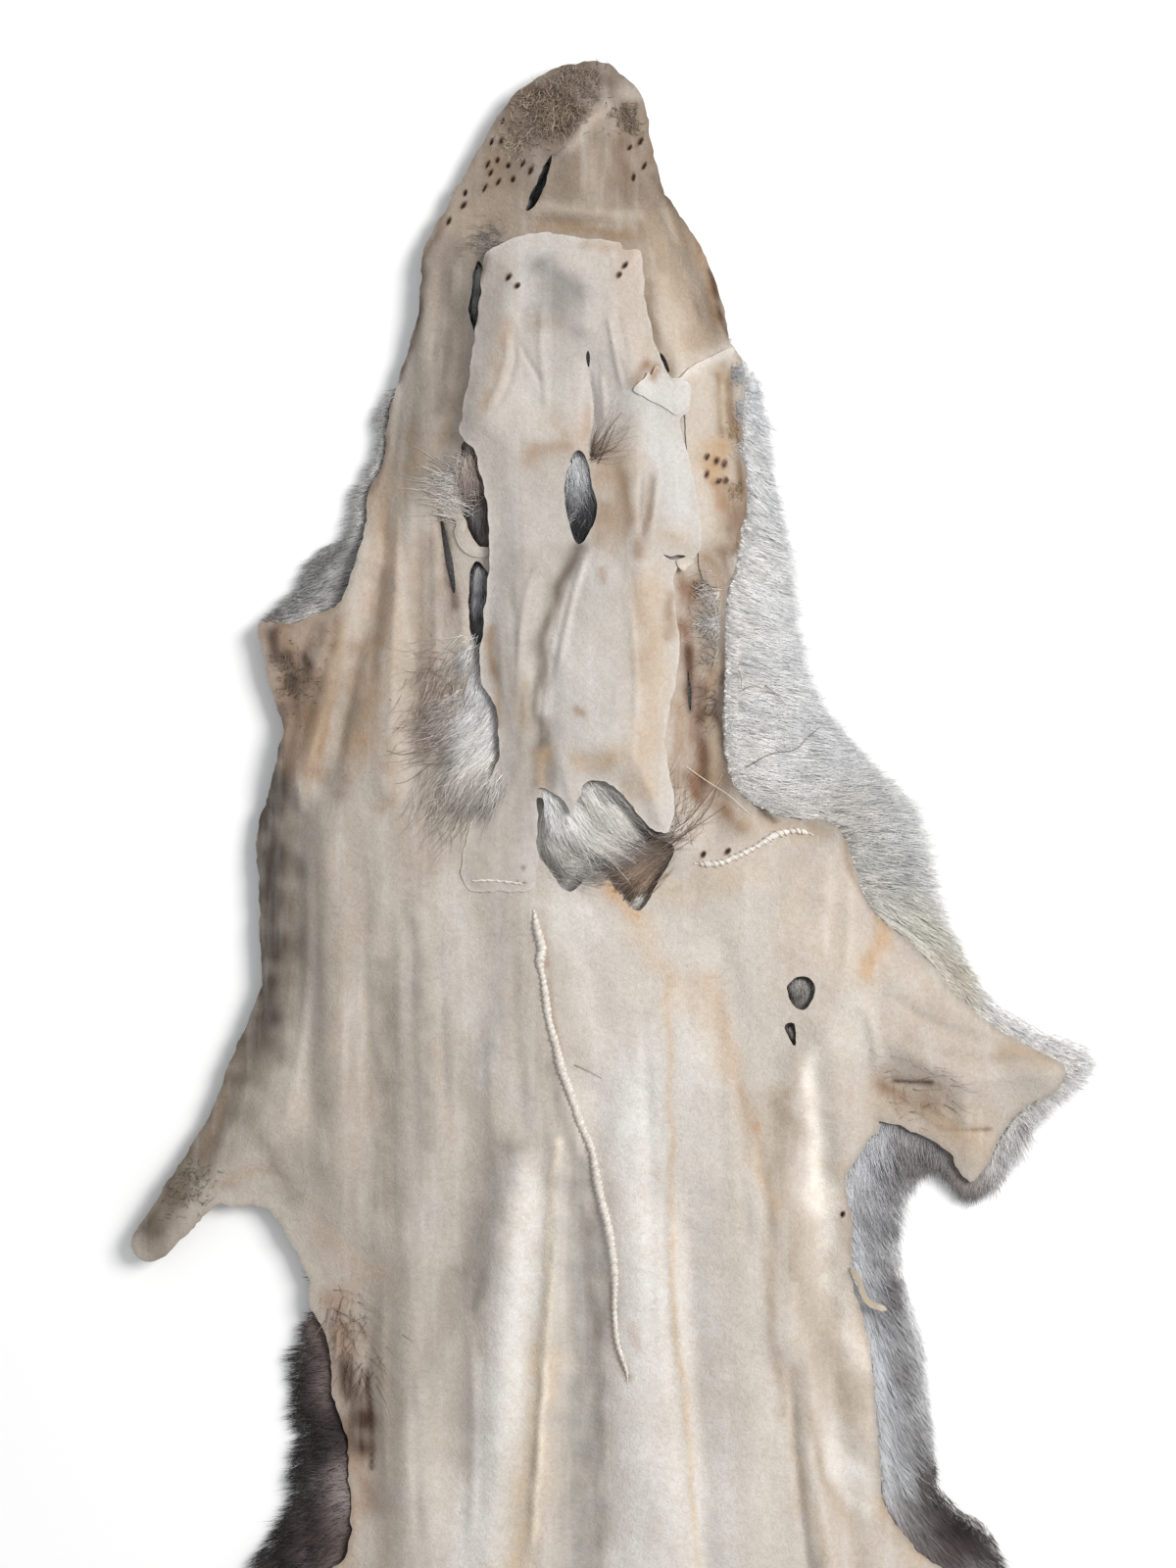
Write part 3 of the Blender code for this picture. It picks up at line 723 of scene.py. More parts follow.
def throat_lift(points):
    """How far the throat's skin stands over the hide: the thickness of the fur between them."""
    covered = eased(throat_line.distance(points) / THROAT_RUN) * inside(points, throat_line.points)
    fluffed = THROAT_FUR_RIM + (THROAT_FUR_THICK - THROAT_FUR_RIM) * covered
    folded = fluffed + folds_at(points, THROAT_FOLDS, THROAT_CREASES) * covered**0.5
    return np.maximum(folded, 0.6 * THROAT_FUR_RIM) * (1 - SEWN_FLAT * sewn_down(points))


def throat_thickness(points):
    return THROAT_THICK * (1 - SEWN_PARED * sewn_down(points))


def throat_top(points):
    sewn = sewn_down(points)
    height = blended(smooth_hide_top(points), hide_top(points), sewn)
    height += 2 * GAP * (1 - sewn) + throat_lift(points) + throat_thickness(points)
    height += wobbled(points, THROAT_WOBBLES)
    return height + throat_pits.height(points)


def blended(first, second, share):
    """The first with a share of the second laid over it."""
    return first * (1 - share) + second * share


trial = in_plan([(600, 1200), (620, 700)])
print("heights on the back and the throat, mm", hide_top(trial)[0].round(1), throat_top(trial)[1].round(1))

# %% [markdown]
# A suede surface takes up stains as paper does, so the colour of the leather is a map of soft
# marks laid over each other: where the animal's fat yellowed it, where hair roots show through,
# where the blade cut near the grain. Some marks are not stains but painted shade and painted
# highlights: shade along the left side and its edge, where the light falls off, in some troughs
# and beside the throat's skin, and highlights on some ridges. Each mark is a path, a half width, a
# strength and a colour. The colours are kept on the mesh's points, and the shader adds the fine
# unevenness.

# %% Colours as they are seen, turned into light
Mark = namedtuple("Mark", "half_width strength colour path")


def seen(red, green, blue):
    """A colour as it is seen, from 0 to 255, as the light that a shader works with."""
    share = np.array([red, green, blue]) / 255
    return np.where(share <= 0.04045, share / 12.92, ((share + 0.055) / 1.055) ** 2.4)


WHITE = (240, 236, 231)
PALE_SKIN = (222, 214, 204)
TAN = (206, 178, 148)

# %% Marks on the hide, in the picture's pixels with half widths in millimetres
HIDE_BASE = (204, 195, 185)
HIDE_MARKS = [
    # The whiter right side of the back
    Mark(28, 0.92, (230, 226, 221), [(665, 990), (680, 1300), (690, 1640)]),
    Mark(18, 0.7, (224, 217, 208), [(775, 950), (770, 1200), (775, 1640)]),
    # Painted light, brightening the flank of a fold that turns away from the lamp.
    Mark(9, 0.9, (243, 241, 238), [(640, 1090), (650, 1250), (650, 1400), (648, 1640)]),
    Mark(5, 0.6, WHITE, [(590, 940), (600, 1030), (625, 1130)]),
    Mark(4, 0.5, (232, 226, 218), [(745, 960), (742, 1060), (752, 1130)]),
    Mark(1.2, 0.7, (222, 198, 168), [(680, 1000), (685, 1160), (687, 1330), (698, 1425), (713, 1600)]),
    Mark(7, 0.55, (236, 233, 229), [(712, 1060), (718, 1200), (720, 1330), (730, 1440), (740, 1600)]),
    Mark(10, 0.5, (208, 200, 190), [(830, 1376), (860, 1420), (870, 1470)]),
    Mark(7, 0.5, (214, 207, 199), [(740, 1390), (760, 1420)]),
    Mark(6, 0.8, (190, 178, 163), [(800, 1130), (800, 1200), (812, 1290), (838, 1370), (866, 1430)]),
    Mark(2.0, 0.6, (180, 166, 148), [(800, 1130), (786, 1220), (786, 1330), (798, 1440)]),
    # Painted highlight down the right of the back, made brighter where its slope is in shade.
    Mark(
        4.6, 0.95, (252, 246, 237),
        [(823, 1085), (830, 1150), (836, 1200), (850, 1258), (866, 1320), (882, 1390)],
    ),
    Mark(3, 0.5, TAN, [(734, 1019), (768, 1168), (788, 1230)]),
    Mark(1.8, 0.7, (206, 160, 116), [(771, 1148)]),
    Mark(3, 0.5, (190, 178, 164), [(811, 1068), (800, 1168), (806, 1300)]),
    Mark(1.0, 0.8, (172, 144, 118), [(552, 930), (556, 955), (557, 985)]),
    Mark(0.9, 0.7, (164, 140, 118), [(561, 1000), (565, 1040), (572, 1070)]),
    Mark(1.0, 0.8, (172, 146, 122), [(624, 1310), (626, 1350), (634, 1392), (642, 1404)]),
    Mark(2.0, 0.5, (212, 194, 184), [(648, 1352), (652, 1375)]),
    Mark(3.0, 0.35, (222, 204, 184), [(860, 1190), (868, 1280), (884, 1380), (892, 1490)]),
    Mark(5, 0.75, WHITE, [(838, 1468), (862, 1500), (890, 1540)]),
    Mark(5, 0.5, (218, 192, 162), [(905, 1530), (940, 1585)]),
    Mark(2.4, 0.6, (196, 180, 160), [(806, 1391), (812, 1490), (842, 1590)]),
    Mark(2.4, 0.6, (190, 172, 152), [(828, 1440), (836, 1490), (866, 1560)]),
    Mark(6, 0.4, (226, 208, 186), [(590, 1640), (640, 1660), (720, 1700)]),
    # The left half, duller, partly as painted shade where the light falls off towards the left, and
    # drawn into streaks
    Mark(16, 0.75, (180, 171, 161), [(360, 860), (360, 1100), (380, 1300)]),
    Mark(10, 0.75, (188, 182, 175), [(430, 1000), (440, 1150), (440, 1300)]),
    Mark(7, 0.75, (220, 215, 209), [(455, 900), (470, 960), (478, 1030)]),
    Mark(5, 0.65, (178, 175, 172), [(508, 915), (512, 1010), (496, 1100)]),
    Mark(6, 0.7, (190, 181, 172), [(535, 940), (545, 1080), (565, 1180)]),
    Mark(4, 0.6, (206, 200, 194), [(520, 1090), (540, 1150)]),
    # Painted shade to the left of a long fold of the back, with its darker edge, and a painted highlight on
    # the fold's ridge.
    Mark(7, 0.75, (166, 158, 149), [(528, 1168), (492, 1262), (452, 1350), (424, 1440)]),
    Mark(3, 0.8, (146, 138, 130), [(527, 1172), (516, 1220), (500, 1280), (484, 1330)]),
    Mark(10, 0.95, (238, 235, 230), [(541, 1210), (520, 1380), (490, 1540), (468, 1660)]),
    Mark(5, 0.7, (208, 202, 195), [(430, 1420), (420, 1520), (420, 1640)]),
    Mark(3, 0.4, (190, 184, 177), [(446, 1400), (434, 1500), (428, 1600)]),
    Mark(4.6, 0.7, (218, 199, 174), [(556, 1380), (544, 1480), (524, 1640)]),
    Mark(1.1, 0.5, (176, 158, 138), [(564, 1180), (559, 1250), (554, 1340), (551, 1420), (544, 1500)]),
    Mark(
        1.3, 0.95, (246, 234, 216),
        [(569, 1164), (563, 1248), (558, 1340), (555, 1420), (549, 1500), (541, 1600)],
    ),
    # Painted shade in the trough to the right of the thin ridge.
    Mark(6, 0.9, (172, 169, 164), [(588, 1190), (596, 1330), (594, 1460), (588, 1640)]),
    Mark(2.0, 0.5, (156, 152, 146), [(609, 1330), (611, 1430), (610, 1640)]),
    Mark(2.2, 0.6, (154, 147, 141), [(562, 1090), (580, 1160), (592, 1230), (602, 1300), (608, 1360)]),
    Mark(3.0, 0.6, (154, 146, 137), [(392, 980), (391, 1100), (389, 1230)]),
    Mark(2.4, 0.55, (156, 149, 141), [(420, 920), (434, 1040), (438, 1168)]),
    Mark(2.6, 0.55, (204, 194, 182), [(372, 1000), (376, 1080), (380, 1150)]),
    Mark(3.0, 0.55, (206, 195, 182), [(443, 1060), (450, 1110), (468, 1180)]),
    Mark(5, 0.6, (196, 184, 170), [(338, 880), (342, 980), (338, 1060)]),
    Mark(5, 0.5, (198, 180, 162), [(322, 1240), (350, 1290), (392, 1310)]),
    Mark(4, 0.4, (192, 172, 152), [(392, 1360), (398, 1480), (400, 1600)]),
    # The shaded left edge
    Mark(9.5, 1.0, (84, 76, 68), [(277, 790), (274, 900), (276, 1000), (258, 1060)]),
    Mark(3, 0.5, (124, 113, 103), [(296, 850), (297, 1000), (286, 1080)]),
    Mark(6, 0.8, (172, 146, 126), [(344, 1330), (356, 1410), (364, 1480), (368, 1540)]),
    Mark(4.4, 0.9, (80, 59, 47), [(356, 1405), (362, 1440), (367, 1475)]),
    Mark(0.9, 0.85, (84, 60, 46), [(374, 1400), (377, 1440), (379, 1500)]),
    Mark(4, 0.6, (190, 158, 130), [(352, 1560), (336, 1610)]),
    Mark(2.0, 0.6, (150, 128, 110), [(340, 1450), (346, 1520)]),
    # The left foreleg
    Mark(9, 0.9, (124, 112, 99), [(250, 1080), (220, 1140), (180, 1215), (155, 1258)]),
    Mark(2.2, 0.6, (150, 134, 116), [(232, 1120), (214, 1170), (186, 1216)]),
    Mark(1.6, 0.6, (92, 80, 68), [(176, 1200), (160, 1232), (146, 1254)]),
    Mark(2.4, 0.7, (186, 170, 152), [(226, 1209), (246, 1199), (268, 1192)]),
    Mark(4, 0.5, (150, 138, 124), [(262, 1140), (280, 1180), (300, 1220)]),
    # The left ear
    Mark(9, 0.9, (160, 134, 115), [(288, 640), (296, 690), (300, 745)]),
    Mark(6, 0.7, (150, 124, 102), [(318, 640), (318, 700), (304, 780)]),
    Mark(2.4, 0.8, (66, 50, 42), [(279, 640), (281, 672)]),
    Mark(2.0, 0.8, (60, 46, 38), [(313, 672), (320, 680)]),
    Mark(1.8, 0.7, (72, 56, 46), [(292, 668), (298, 700)]),
    Mark(1.6, 0.7, (76, 60, 50), [(286, 720), (284, 770)]),
    Mark(3.4, 0.7, (168, 138, 110), [(346, 636), (336, 710), (318, 790)]),
    Mark(1.2, 0.7, (196, 176, 152), [(350, 640), (338, 700), (316, 780)]),
    Mark(5, 0.7, (158, 142, 126), [(366, 660), (358, 740), (346, 810)]),
    Mark(1.6, 0.7, (196, 176, 152), [(350, 614), (310, 630), (274, 630)]),
    # The left of the neck
    Mark(5.0, 0.8, (190, 165, 141), [(394, 490), (390, 600), (378, 700), (366, 770)]),
    Mark(1.6, 0.75, (206, 190, 172), [(409, 470), (407, 560), (404, 690)]),
    Mark(5.0, 0.7, (172, 155, 140), [(430, 560), (428, 640), (424, 730)]),
    Mark(4.5, 0.7, (176, 160, 146), [(455, 600), (455, 660), (452, 720)]),
    Mark(6, 0.6, (186, 172, 160), [(440, 800), (420, 860), (430, 900)]),
    Mark(3, 0.6, (172, 152, 132), [(400, 760), (392, 830)]),
    Mark(1.4, 0.85, (104, 80, 64), [(450, 528), (456, 575), (464, 620)]),
    Mark(9, 0.6, (196, 188, 180), [(470, 800), (500, 860)]),
    # The left of the head
    Mark(12, 0.9, (156, 146, 136), [(456, 262), (450, 330), (434, 420), (420, 480)]),
    Mark(1.6, 0.6, (178, 168, 158), [(444, 280), (440, 340), (426, 400)]),
    Mark(1.4, 0.85, (92, 72, 58), [(431, 262), (427, 310), (420, 350), (406, 385)]),
    Mark(1.4, 0.6, (124, 100, 80), [(396, 410), (390, 470), (377, 500)]),
    Mark(2.0, 0.5, (182, 160, 138), [(472, 340), (464, 400), (454, 450)]),
    Mark(2.0, 0.6, (134, 124, 114), [(462, 280), (460, 350), (448, 420)]),
    Mark(3.0, 0.5, (176, 156, 134), [(424, 440), (412, 500)]),
    # The snout
    Mark(26, 0.9, (149, 133, 118), [(520, 190), (600, 200), (680, 215)]),
    Mark(11, 0.9, (112, 93, 78), [(548, 98), (575, 112), (586, 132)]),
    Mark(6, 0.85, (122, 106, 92), [(556, 74), (590, 70), (622, 78)]),
    Mark(5, 0.8, (124, 106, 90), [(525, 100), (512, 120), (522, 146)]),
    Mark(5, 0.8, (128, 108, 90), [(640, 112), (642, 150), (640, 180)]),
    Mark(3, 0.6, (146, 126, 106), [(660, 120), (666, 160)]),
    Mark(3.0, 0.85, (196, 184, 172), [(616, 112), (600, 128), (580, 154)]),
    Mark(5, 0.7, (168, 152, 137), [(600, 160), (600, 185)]),
    Mark(1.6, 0.75, (66, 52, 44), [(560, 128), (574, 134)]),
    Mark(1.6, 0.7, (70, 56, 46), [(600, 90), (608, 98)]),
    Mark(2.2, 0.6, (78, 62, 50), [(556, 98), (562, 114)]),
    Mark(2.0, 0.6, (84, 66, 54), [(584, 106), (592, 116)]),
    Mark(2.2, 0.75, (158, 132, 106), [(550, 230), (600, 234), (650, 238)]),
    Mark(3.0, 0.6, (196, 182, 166), [(545, 216), (600, 218), (650, 222)]),
    Mark(3.4, 0.6, (158, 136, 116), [(504, 160), (520, 175), (504, 188)]),
    Mark(1.6, 0.7, (104, 84, 68), [(455, 212), (444, 236), (436, 258)]),
    Mark(7, 0.6, (190, 172, 154), [(470, 225), (510, 215)]),
    # The right of the head
    Mark(8, 0.8, (184, 164, 142), [(684, 230), (700, 290), (716, 350)]),
    Mark(4, 0.6, (206, 192, 174), [(672, 290), (684, 340), (700, 372)]),
    Mark(1.6, 0.6, (208, 196, 180), [(676, 215), (694, 262), (712, 300)]),
    Mark(3.0, 0.7, (166, 132, 100), [(716, 240), (728, 290), (738, 335)]),
    Mark(1.3, 0.85, (84, 62, 46), [(724, 276), (734, 305), (742, 340)]),
    # Painted shadow of the throat's skin, along its right edge.
    Mark(2.6, 0.8, (136, 114, 92), [(660, 290), (666, 330), (676, 366), (688, 388)]),
    Mark(1.6, 0.6, (126, 106, 88), [(668, 180), (684, 205)]),
    # The cheek
    Mark(5, 0.8, (212, 203, 193), [(712, 390), (712, 470), (716, 560)]),
    Mark(3.4, 0.75, (186, 166, 142), [(738, 376), (740, 440), (742, 560)]),
    Mark(1.6, 0.8, (138, 112, 88), [(748, 380), (749, 430), (758, 490), (758, 530), (750, 560)]),
    Mark(1.3, 0.6, (150, 124, 96), [(732, 384), (736, 410), (734, 440)]),
    Mark(1.2, 0.6, (146, 120, 92), [(742, 392), (741, 420), (745, 444)]),
    Mark(1.2, 0.6, (212, 198, 178), [(738, 394), (738, 430)]),
    Mark(4.6, 0.9, (196, 166, 132), [(729, 460), (733, 488)]),
    Mark(3.0, 0.8, (170, 134, 102), [(734, 496), (737, 512)]),
    Mark(2.4, 0.75, (146, 120, 98), [(748, 500), (750, 530), (744, 560)]),
    Mark(2.2, 0.7, (150, 124, 100), [(742, 560), (744, 590)]),
    Mark(3.0, 0.7, (228, 224, 218), [(690, 388), (712, 372), (740, 358)]),
    # The right of the neck
    Mark(5.0, 0.85, (186, 164, 142), [(722, 575), (724, 680), (728, 790)]),
    Mark(3.4, 0.9, (136, 102, 78), [(706, 590), (700, 640), (706, 720), (714, 810)]),
    Mark(1.4, 0.85, (78, 58, 46), [(702, 660), (704, 724)]),
    Mark(1.8, 0.8, (112, 86, 68), [(716, 700), (717, 760), (720, 806)]),
    Mark(2.4, 0.7, (166, 138, 112), [(690, 720), (692, 800)]),
    Mark(2.2, 0.75, (104, 84, 72), [(738, 690), (736, 740), (742, 770)]),
    Mark(4.0, 0.8, (150, 118, 92), [(736, 812), (752, 840)]),
    Mark(3.0, 0.6, (196, 176, 152), [(764, 838), (800, 846), (840, 850)]),
    Mark(1.2, 0.8, (98, 76, 60), [(776, 826), (790, 838)]),
    # The chest, below the seams
    Mark(8, 0.85, (232, 228, 222), [(575, 925), (600, 960)]),
    Mark(3.0, 0.85, (212, 172, 130), [(618, 892), (628, 915), (650, 934)]),
    Mark(7, 0.6, (222, 200, 176), [(655, 950), (670, 990), (700, 1010)]),
    Mark(6, 0.5, (214, 196, 174), [(680, 905), (720, 905), (760, 890)]),
    Mark(4, 0.5, (216, 194, 170), [(720, 1000), (740, 1090)]),
    Mark(5, 0.4, (200, 184, 166), [(810, 900), (800, 980)]),
    # The right shoulder and foreleg
    Mark(14, 0.7, (214, 203, 190), [(850, 920), (870, 1010)]),
    Mark(7, 0.8, (228, 222, 213), [(868, 1030), (880, 1070)]),
    Mark(3.4, 0.7, (208, 172, 134), [(905, 938), (896, 960), (884, 990)]),
    Mark(9, 0.75, (200, 190, 178), [(960, 1030), (1020, 1080)]),
    Mark(8, 0.7, (192, 170, 146), [(906, 1116), (940, 1132), (990, 1160)]),
    Mark(3.0, 0.7, (158, 130, 106), [(904, 1110), (926, 1118), (950, 1128)]),
    Mark(0.8, 0.9, (84, 64, 50), [(914, 1103), (930, 1103), (950, 1106)]),
    Mark(0.8, 0.7, (140, 114, 92), [(960, 1152), (985, 1150), (1012, 1154)]),
    Mark(3.5, 0.6, (186, 164, 140), [(1030, 1075), (1070, 1084)]),
    Mark(4, 0.5, (188, 168, 146), [(960, 1140), (996, 1172)]),
    Mark(1.4, 0.6, (150, 128, 106), [(985, 1010), (1030, 1042), (1078, 1072)]),
    Mark(1.4, 0.6, (158, 132, 108), [(862, 860), (874, 905), (892, 925)]),
]

# %% Marks on the throat
THROAT_BASE = (206, 200, 194)
THROAT_MARKS = [
    # The tip of the jaw
    Mark(5, 0.85, (218, 213, 208), [(540, 262), (538, 300), (530, 320)]),
    Mark(5, 0.8, (214, 209, 203), [(606, 268), (610, 300), (606, 330)]),
    Mark(6, 0.8, (142, 139, 137), [(556, 278), (572, 288), (578, 302)]),
    Mark(7, 0.65, (160, 156, 152), [(560, 314), (572, 332), (590, 342)]),
    Mark(4, 0.6, (190, 178, 166), [(508, 274), (500, 312), (494, 340)]),
    Mark(7, 0.8, (200, 186, 173), [(640, 262), (642, 310), (652, 362)]),
    Mark(2.0, 0.6, (188, 164, 142), [(600, 254), (622, 250), (648, 258)]),
    Mark(3.6, 0.5, (168, 148, 128), [(552, 334), (566, 337)]),
    Mark(3.6, 0.6, (188, 165, 143), [(518, 334), (514, 362), (506, 394), (496, 418)]),
    Mark(7, 0.7, (220, 216, 211), [(530, 400), (560, 440)]),
    Mark(4.4, 0.6, (178, 150, 126), [(545, 466), (562, 462), (576, 458)]),
    Mark(4.5, 0.4, (192, 170, 148), [(566, 434), (584, 446)]),
    Mark(3.0, 0.6, (194, 168, 146), [(597, 424), (596, 444)]),
    Mark(2.2, 0.85, (150, 116, 88), [(646, 394), (652, 386), (660, 376)]),
    Mark(1.6, 0.8, (160, 126, 96), [(664, 388), (670, 378)]),
    # The tan panel and the white one, beside the hole
    Mark(7, 0.9, (190, 170, 150), [(620, 474), (632, 520), (622, 556)]),
    Mark(3, 0.75, (166, 140, 116), [(616, 520), (612, 548)]),
    Mark(2.0, 0.7, (160, 134, 110), [(632, 478), (640, 520), (638, 556)]),
    Mark(2.2, 0.7, (162, 136, 112), [(664, 490), (660, 540), (652, 566)]),
    Mark(4, 0.6, (196, 180, 162), [(640, 440), (646, 470)]),
    Mark(7, 0.9, (206, 205, 203), [(650, 412), (676, 450), (694, 512)]),
    Mark(4, 0.6, (198, 184, 168), [(676, 545), (694, 560)]),
    # Below the hole
    Mark(13, 0.8, (220, 215, 209), [(602, 600), (606, 680), (606, 740)]),
    Mark(5, 0.7, (228, 224, 219), [(606, 570), (590, 620), (580, 680)]),
    # Painted shade in the groove below the hole and to its left, and a painted highlight on the ridge
    # beside it.
    Mark(6, 0.6, (176, 168, 160), [(572, 574), (554, 612), (543, 664), (540, 744)]),
    Mark(2.6, 0.95, (118, 108, 99), [(592, 560), (564, 611), (553, 662), (550, 739), (547, 802)]),
    Mark(2.4, 0.7, (236, 232, 227), [(598, 580), (577, 618), (566, 662), (560, 730)]),
    Mark(6, 0.8, (186, 178, 169), [(540, 580), (526, 640), (524, 700), (530, 800)]),
    Mark(3, 0.6, (214, 209, 203), [(508, 590), (520, 640)]),
    Mark(3, 0.6, (208, 203, 197), [(545, 600), (538, 660), (536, 740)]),
    Mark(2.2, 0.7, (170, 140, 110), [(500, 640), (506, 690), (509, 740)]),
    Mark(2.4, 0.6, (176, 150, 122), [(536, 700), (537, 740)]),
    Mark(7, 0.75, (204, 184, 162), [(664, 600), (664, 720), (652, 800)]),
    Mark(2.0, 0.65, (156, 130, 106), [(686, 606), (682, 650)]),
    Mark(3.4, 0.35, (176, 152, 128), [(640, 590), (660, 640), (656, 690)]),
    Mark(1.2, 0.6, (176, 146, 120), [(615, 584), (616, 596)]),
    Mark(1.6, 0.7, (174, 138, 108), [(588, 724), (594, 730)]),
    Mark(3.0, 0.75, (204, 180, 154), [(591, 772), (612, 774), (628, 770)]),
    Mark(2.4, 0.5, (206, 184, 160), [(596, 784), (622, 786)]),
    Mark(3.0, 0.8, (194, 168, 142), [(555, 768), (557, 796)]),
    Mark(9, 0.8, (190, 183, 175), [(520, 820), (500, 870), (500, 905)]),
    Mark(1.4, 0.7, (110, 94, 80), [(498, 264), (486, 280), (485, 330)]),
    Mark(2.0, 0.5, (174, 168, 162), [(480, 380), (474, 430)]),
    Mark(0.8, 0.8, (96, 82, 72), [(535, 884)]),
    Mark(0.7, 0.8, (96, 82, 72), [(529, 900)]),
    Mark(0.7, 0.8, (96, 82, 72), [(536, 901)]),
]

# %% Mixing the marks
# A mark strays from its path by this much, or by this share of its half width if that is less.
STRAY = 1.7
STRAY_SHARE = 0.35
STRAY_SIZE = 9
# A mark is this patchy, and less so if its half width is over PATCHY_WIDTH.
PATCHY = 0.22
PATCH_SIZE = 5
PATCHY_WIDTH = 4
# The marks are as bright as they look, and this share brings them down to what the light expects.
UNDER_LIGHT = 0.88


def coloured(points, base, marks, seed):
    """The colour of each point: the base with every mark over it, its edge made uneven."""
    stray = np.stack([wobble(points, STRAY_SIZE, seed), wobble(points, STRAY_SIZE, seed + 1)], axis=1)
    patches = wobble(points, PATCH_SIZE, seed + 2)
    colour = np.tile(seen(*base), (len(points), 1))
    for mark in marks:
        path = in_plan(mark.path)
        if len(path) > 1:
            path = open_curve(path, PATH_STEP)
        moved = points + min(STRAY, STRAY_SHARE * mark.half_width) * stray
        uneven = 1 + PATCHY * min(1, PATCHY_WIDTH / mark.half_width) * patches
        share = np.clip(mark.strength * uneven * nearness(moved, path, mark.half_width), 0, 1)
        colour = blended(colour, seen(*mark.colour), share[:, None])
    return colour * UNDER_LIGHT


print("marks", len(HIDE_MARKS) + len(THROAT_MARKS))

# %% [markdown]
# A sheet is made as a sewer cuts cloth: a flat plan first, then the shape. Delaunay triangulation
# fills the plan with even triangles that have the rims and holes as edges. The upper side is fine,
# because it shows. The underside lies on the fur, so it is coarse, and both share the same rims,
# which closes the sheet. A solidify modifier would make both sides fine and waste the triangles.

# %% Even points over an area
# Rows of an even triangle grid lie this share of their spacing apart.
ROW_SHARE = 0.866
JITTER = 0.12
GRID_SEED = 17


def grid_of(loop, spacing):
    """Points in staggered rows over the loop's box, and inside it."""
    low, high = loop.min(axis=0), loop.max(axis=0)
    across = np.arange(low[0], high[0], spacing)
    down = np.arange(low[1], high[1], spacing * ROW_SHARE)
    x, y = np.meshgrid(across, down)
    x = x + (np.arange(len(down)) % 2)[:, None] * spacing / 2
    grid = np.stack([x.ravel(), y.ravel()], axis=1)
    rng = np.random.default_rng(GRID_SEED)
    grid += rng.uniform(-JITTER, JITTER, grid.shape) * spacing
    return grid[inside(grid, loop)]


def triangles(loops, rows, clear):
    """Triangles over the rows and the loops' points. The loops' points come first."""
    rims = np.vstack(loops)
    line = Line(rims)
    rows = rows[line.distance(rows) > clear]
    edges = []
    first = 0
    for loop in loops:
        edges += [(first + i, first + (i + 1) % len(loop)) for i in range(len(loop))]
        first += len(loop)
    points = np.vstack([rims, rows])
    made = delaunay_2d_cdt([Vector(p) for p in points], edges, [], 0, 1e-5)
    faces = np.array(made[2])
    places = np.array([tuple(v) for v in made[0]])
    middles = places[faces].mean(axis=1)
    kept = inside(middles, loops[0])
    for hole in loops[1:]:
        kept &= ~inside(middles, hole)
    return places, faces[kept]


# %% Place of the plan in the frame
hide_low, hide_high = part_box("hide")
plan_low, plan_high = hide_line.points.min(axis=0), hide_line.points.max(axis=0)
middle_across = (plan_low[0] + plan_high[0]) / 2 - (hide_low.x + hide_high.x) / 2 / MM
middle_down = (plan_low[1] + plan_high[1]) / 2 + (hide_low.y + hide_high.y) / 2 / MM


def in_frame(points, heights):
    """Plan millimetres and heights as metres in the frame."""
    across, down = points[:, 0] - middle_across, middle_down - points[:, 1]
    return np.stack([across, down, heights], axis=1) * MM


print("the plan's middle is at", round(middle_across, 2), round(middle_down, 2))

# %% A mesh object from arrays
SHARP_ANGLE = 50


def new_piece(name, corners, faces, colours=None):
    """An object with its points, faces and colours, riding with the pelt."""
    mesh = bpy.data.meshes.new(name)
    mesh.from_pydata(corners, [], faces)
    if colours is not None:
        tint = mesh.color_attributes.new("tint", "FLOAT_COLOR", "POINT")
        tint.data.foreach_set("color", np.hstack([colours, np.ones((len(colours), 1))]).ravel())
    mesh.update()
    mesh.shade_smooth()
    piece = bpy.data.objects.new(name, mesh)
    bpy.context.scene.collection.objects.link(piece)
    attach(piece, "root")
    return piece


def faces_out(piece):
    """Turns every face outwards, and keeps the rim's corners sharp."""
    body = bmesh.new()
    body.from_mesh(piece.data)
    bmesh.ops.recalc_face_normals(body, faces=body.faces)
    body.to_mesh(piece.data)
    body.free()
    piece.data.set_sharp_from_angle(angle=math.radians(SHARP_ANGLE))


# %% A closed sheet over a plan
EXTRA_CLEAR = 0.8


def closed_body(name, loops, upper_rows, upper_clear, lower_rows, lower_clear, top, foot, colour):
    """A closed body over the plan in the loops, from its foot's height up to its top's."""
    upper, upper_faces = triangles(loops, upper_rows, upper_clear)
    lower, lower_faces = triangles(loops, lower_rows, lower_clear)
    corners = np.vstack([in_frame(upper, top(upper)), in_frame(lower, foot(lower))])
    walls = []
    first = 0
    for loop in loops:
        for i in range(len(loop)):
            one, two = first + i, first + (i + 1) % len(loop)
            walls.append((one, two, len(upper) + two))
            walls.append((one, len(upper) + two, len(upper) + one))
        first += len(loop)
    faces = np.vstack([upper_faces, lower_faces + len(upper), np.array(walls)])
    used, numbered = np.unique(faces, return_inverse=True)
    tints = np.vstack([colour(upper), colour(lower)])[used]
    piece = new_piece(name, corners[used], numbered.reshape(faces.shape), tints)
    faces_out(piece)
    area = plan_area(upper, upper_faces)
    print(name, "triangles", len(faces), "rim points", first, "flat area m2 %.4f" % area)
    return piece, area


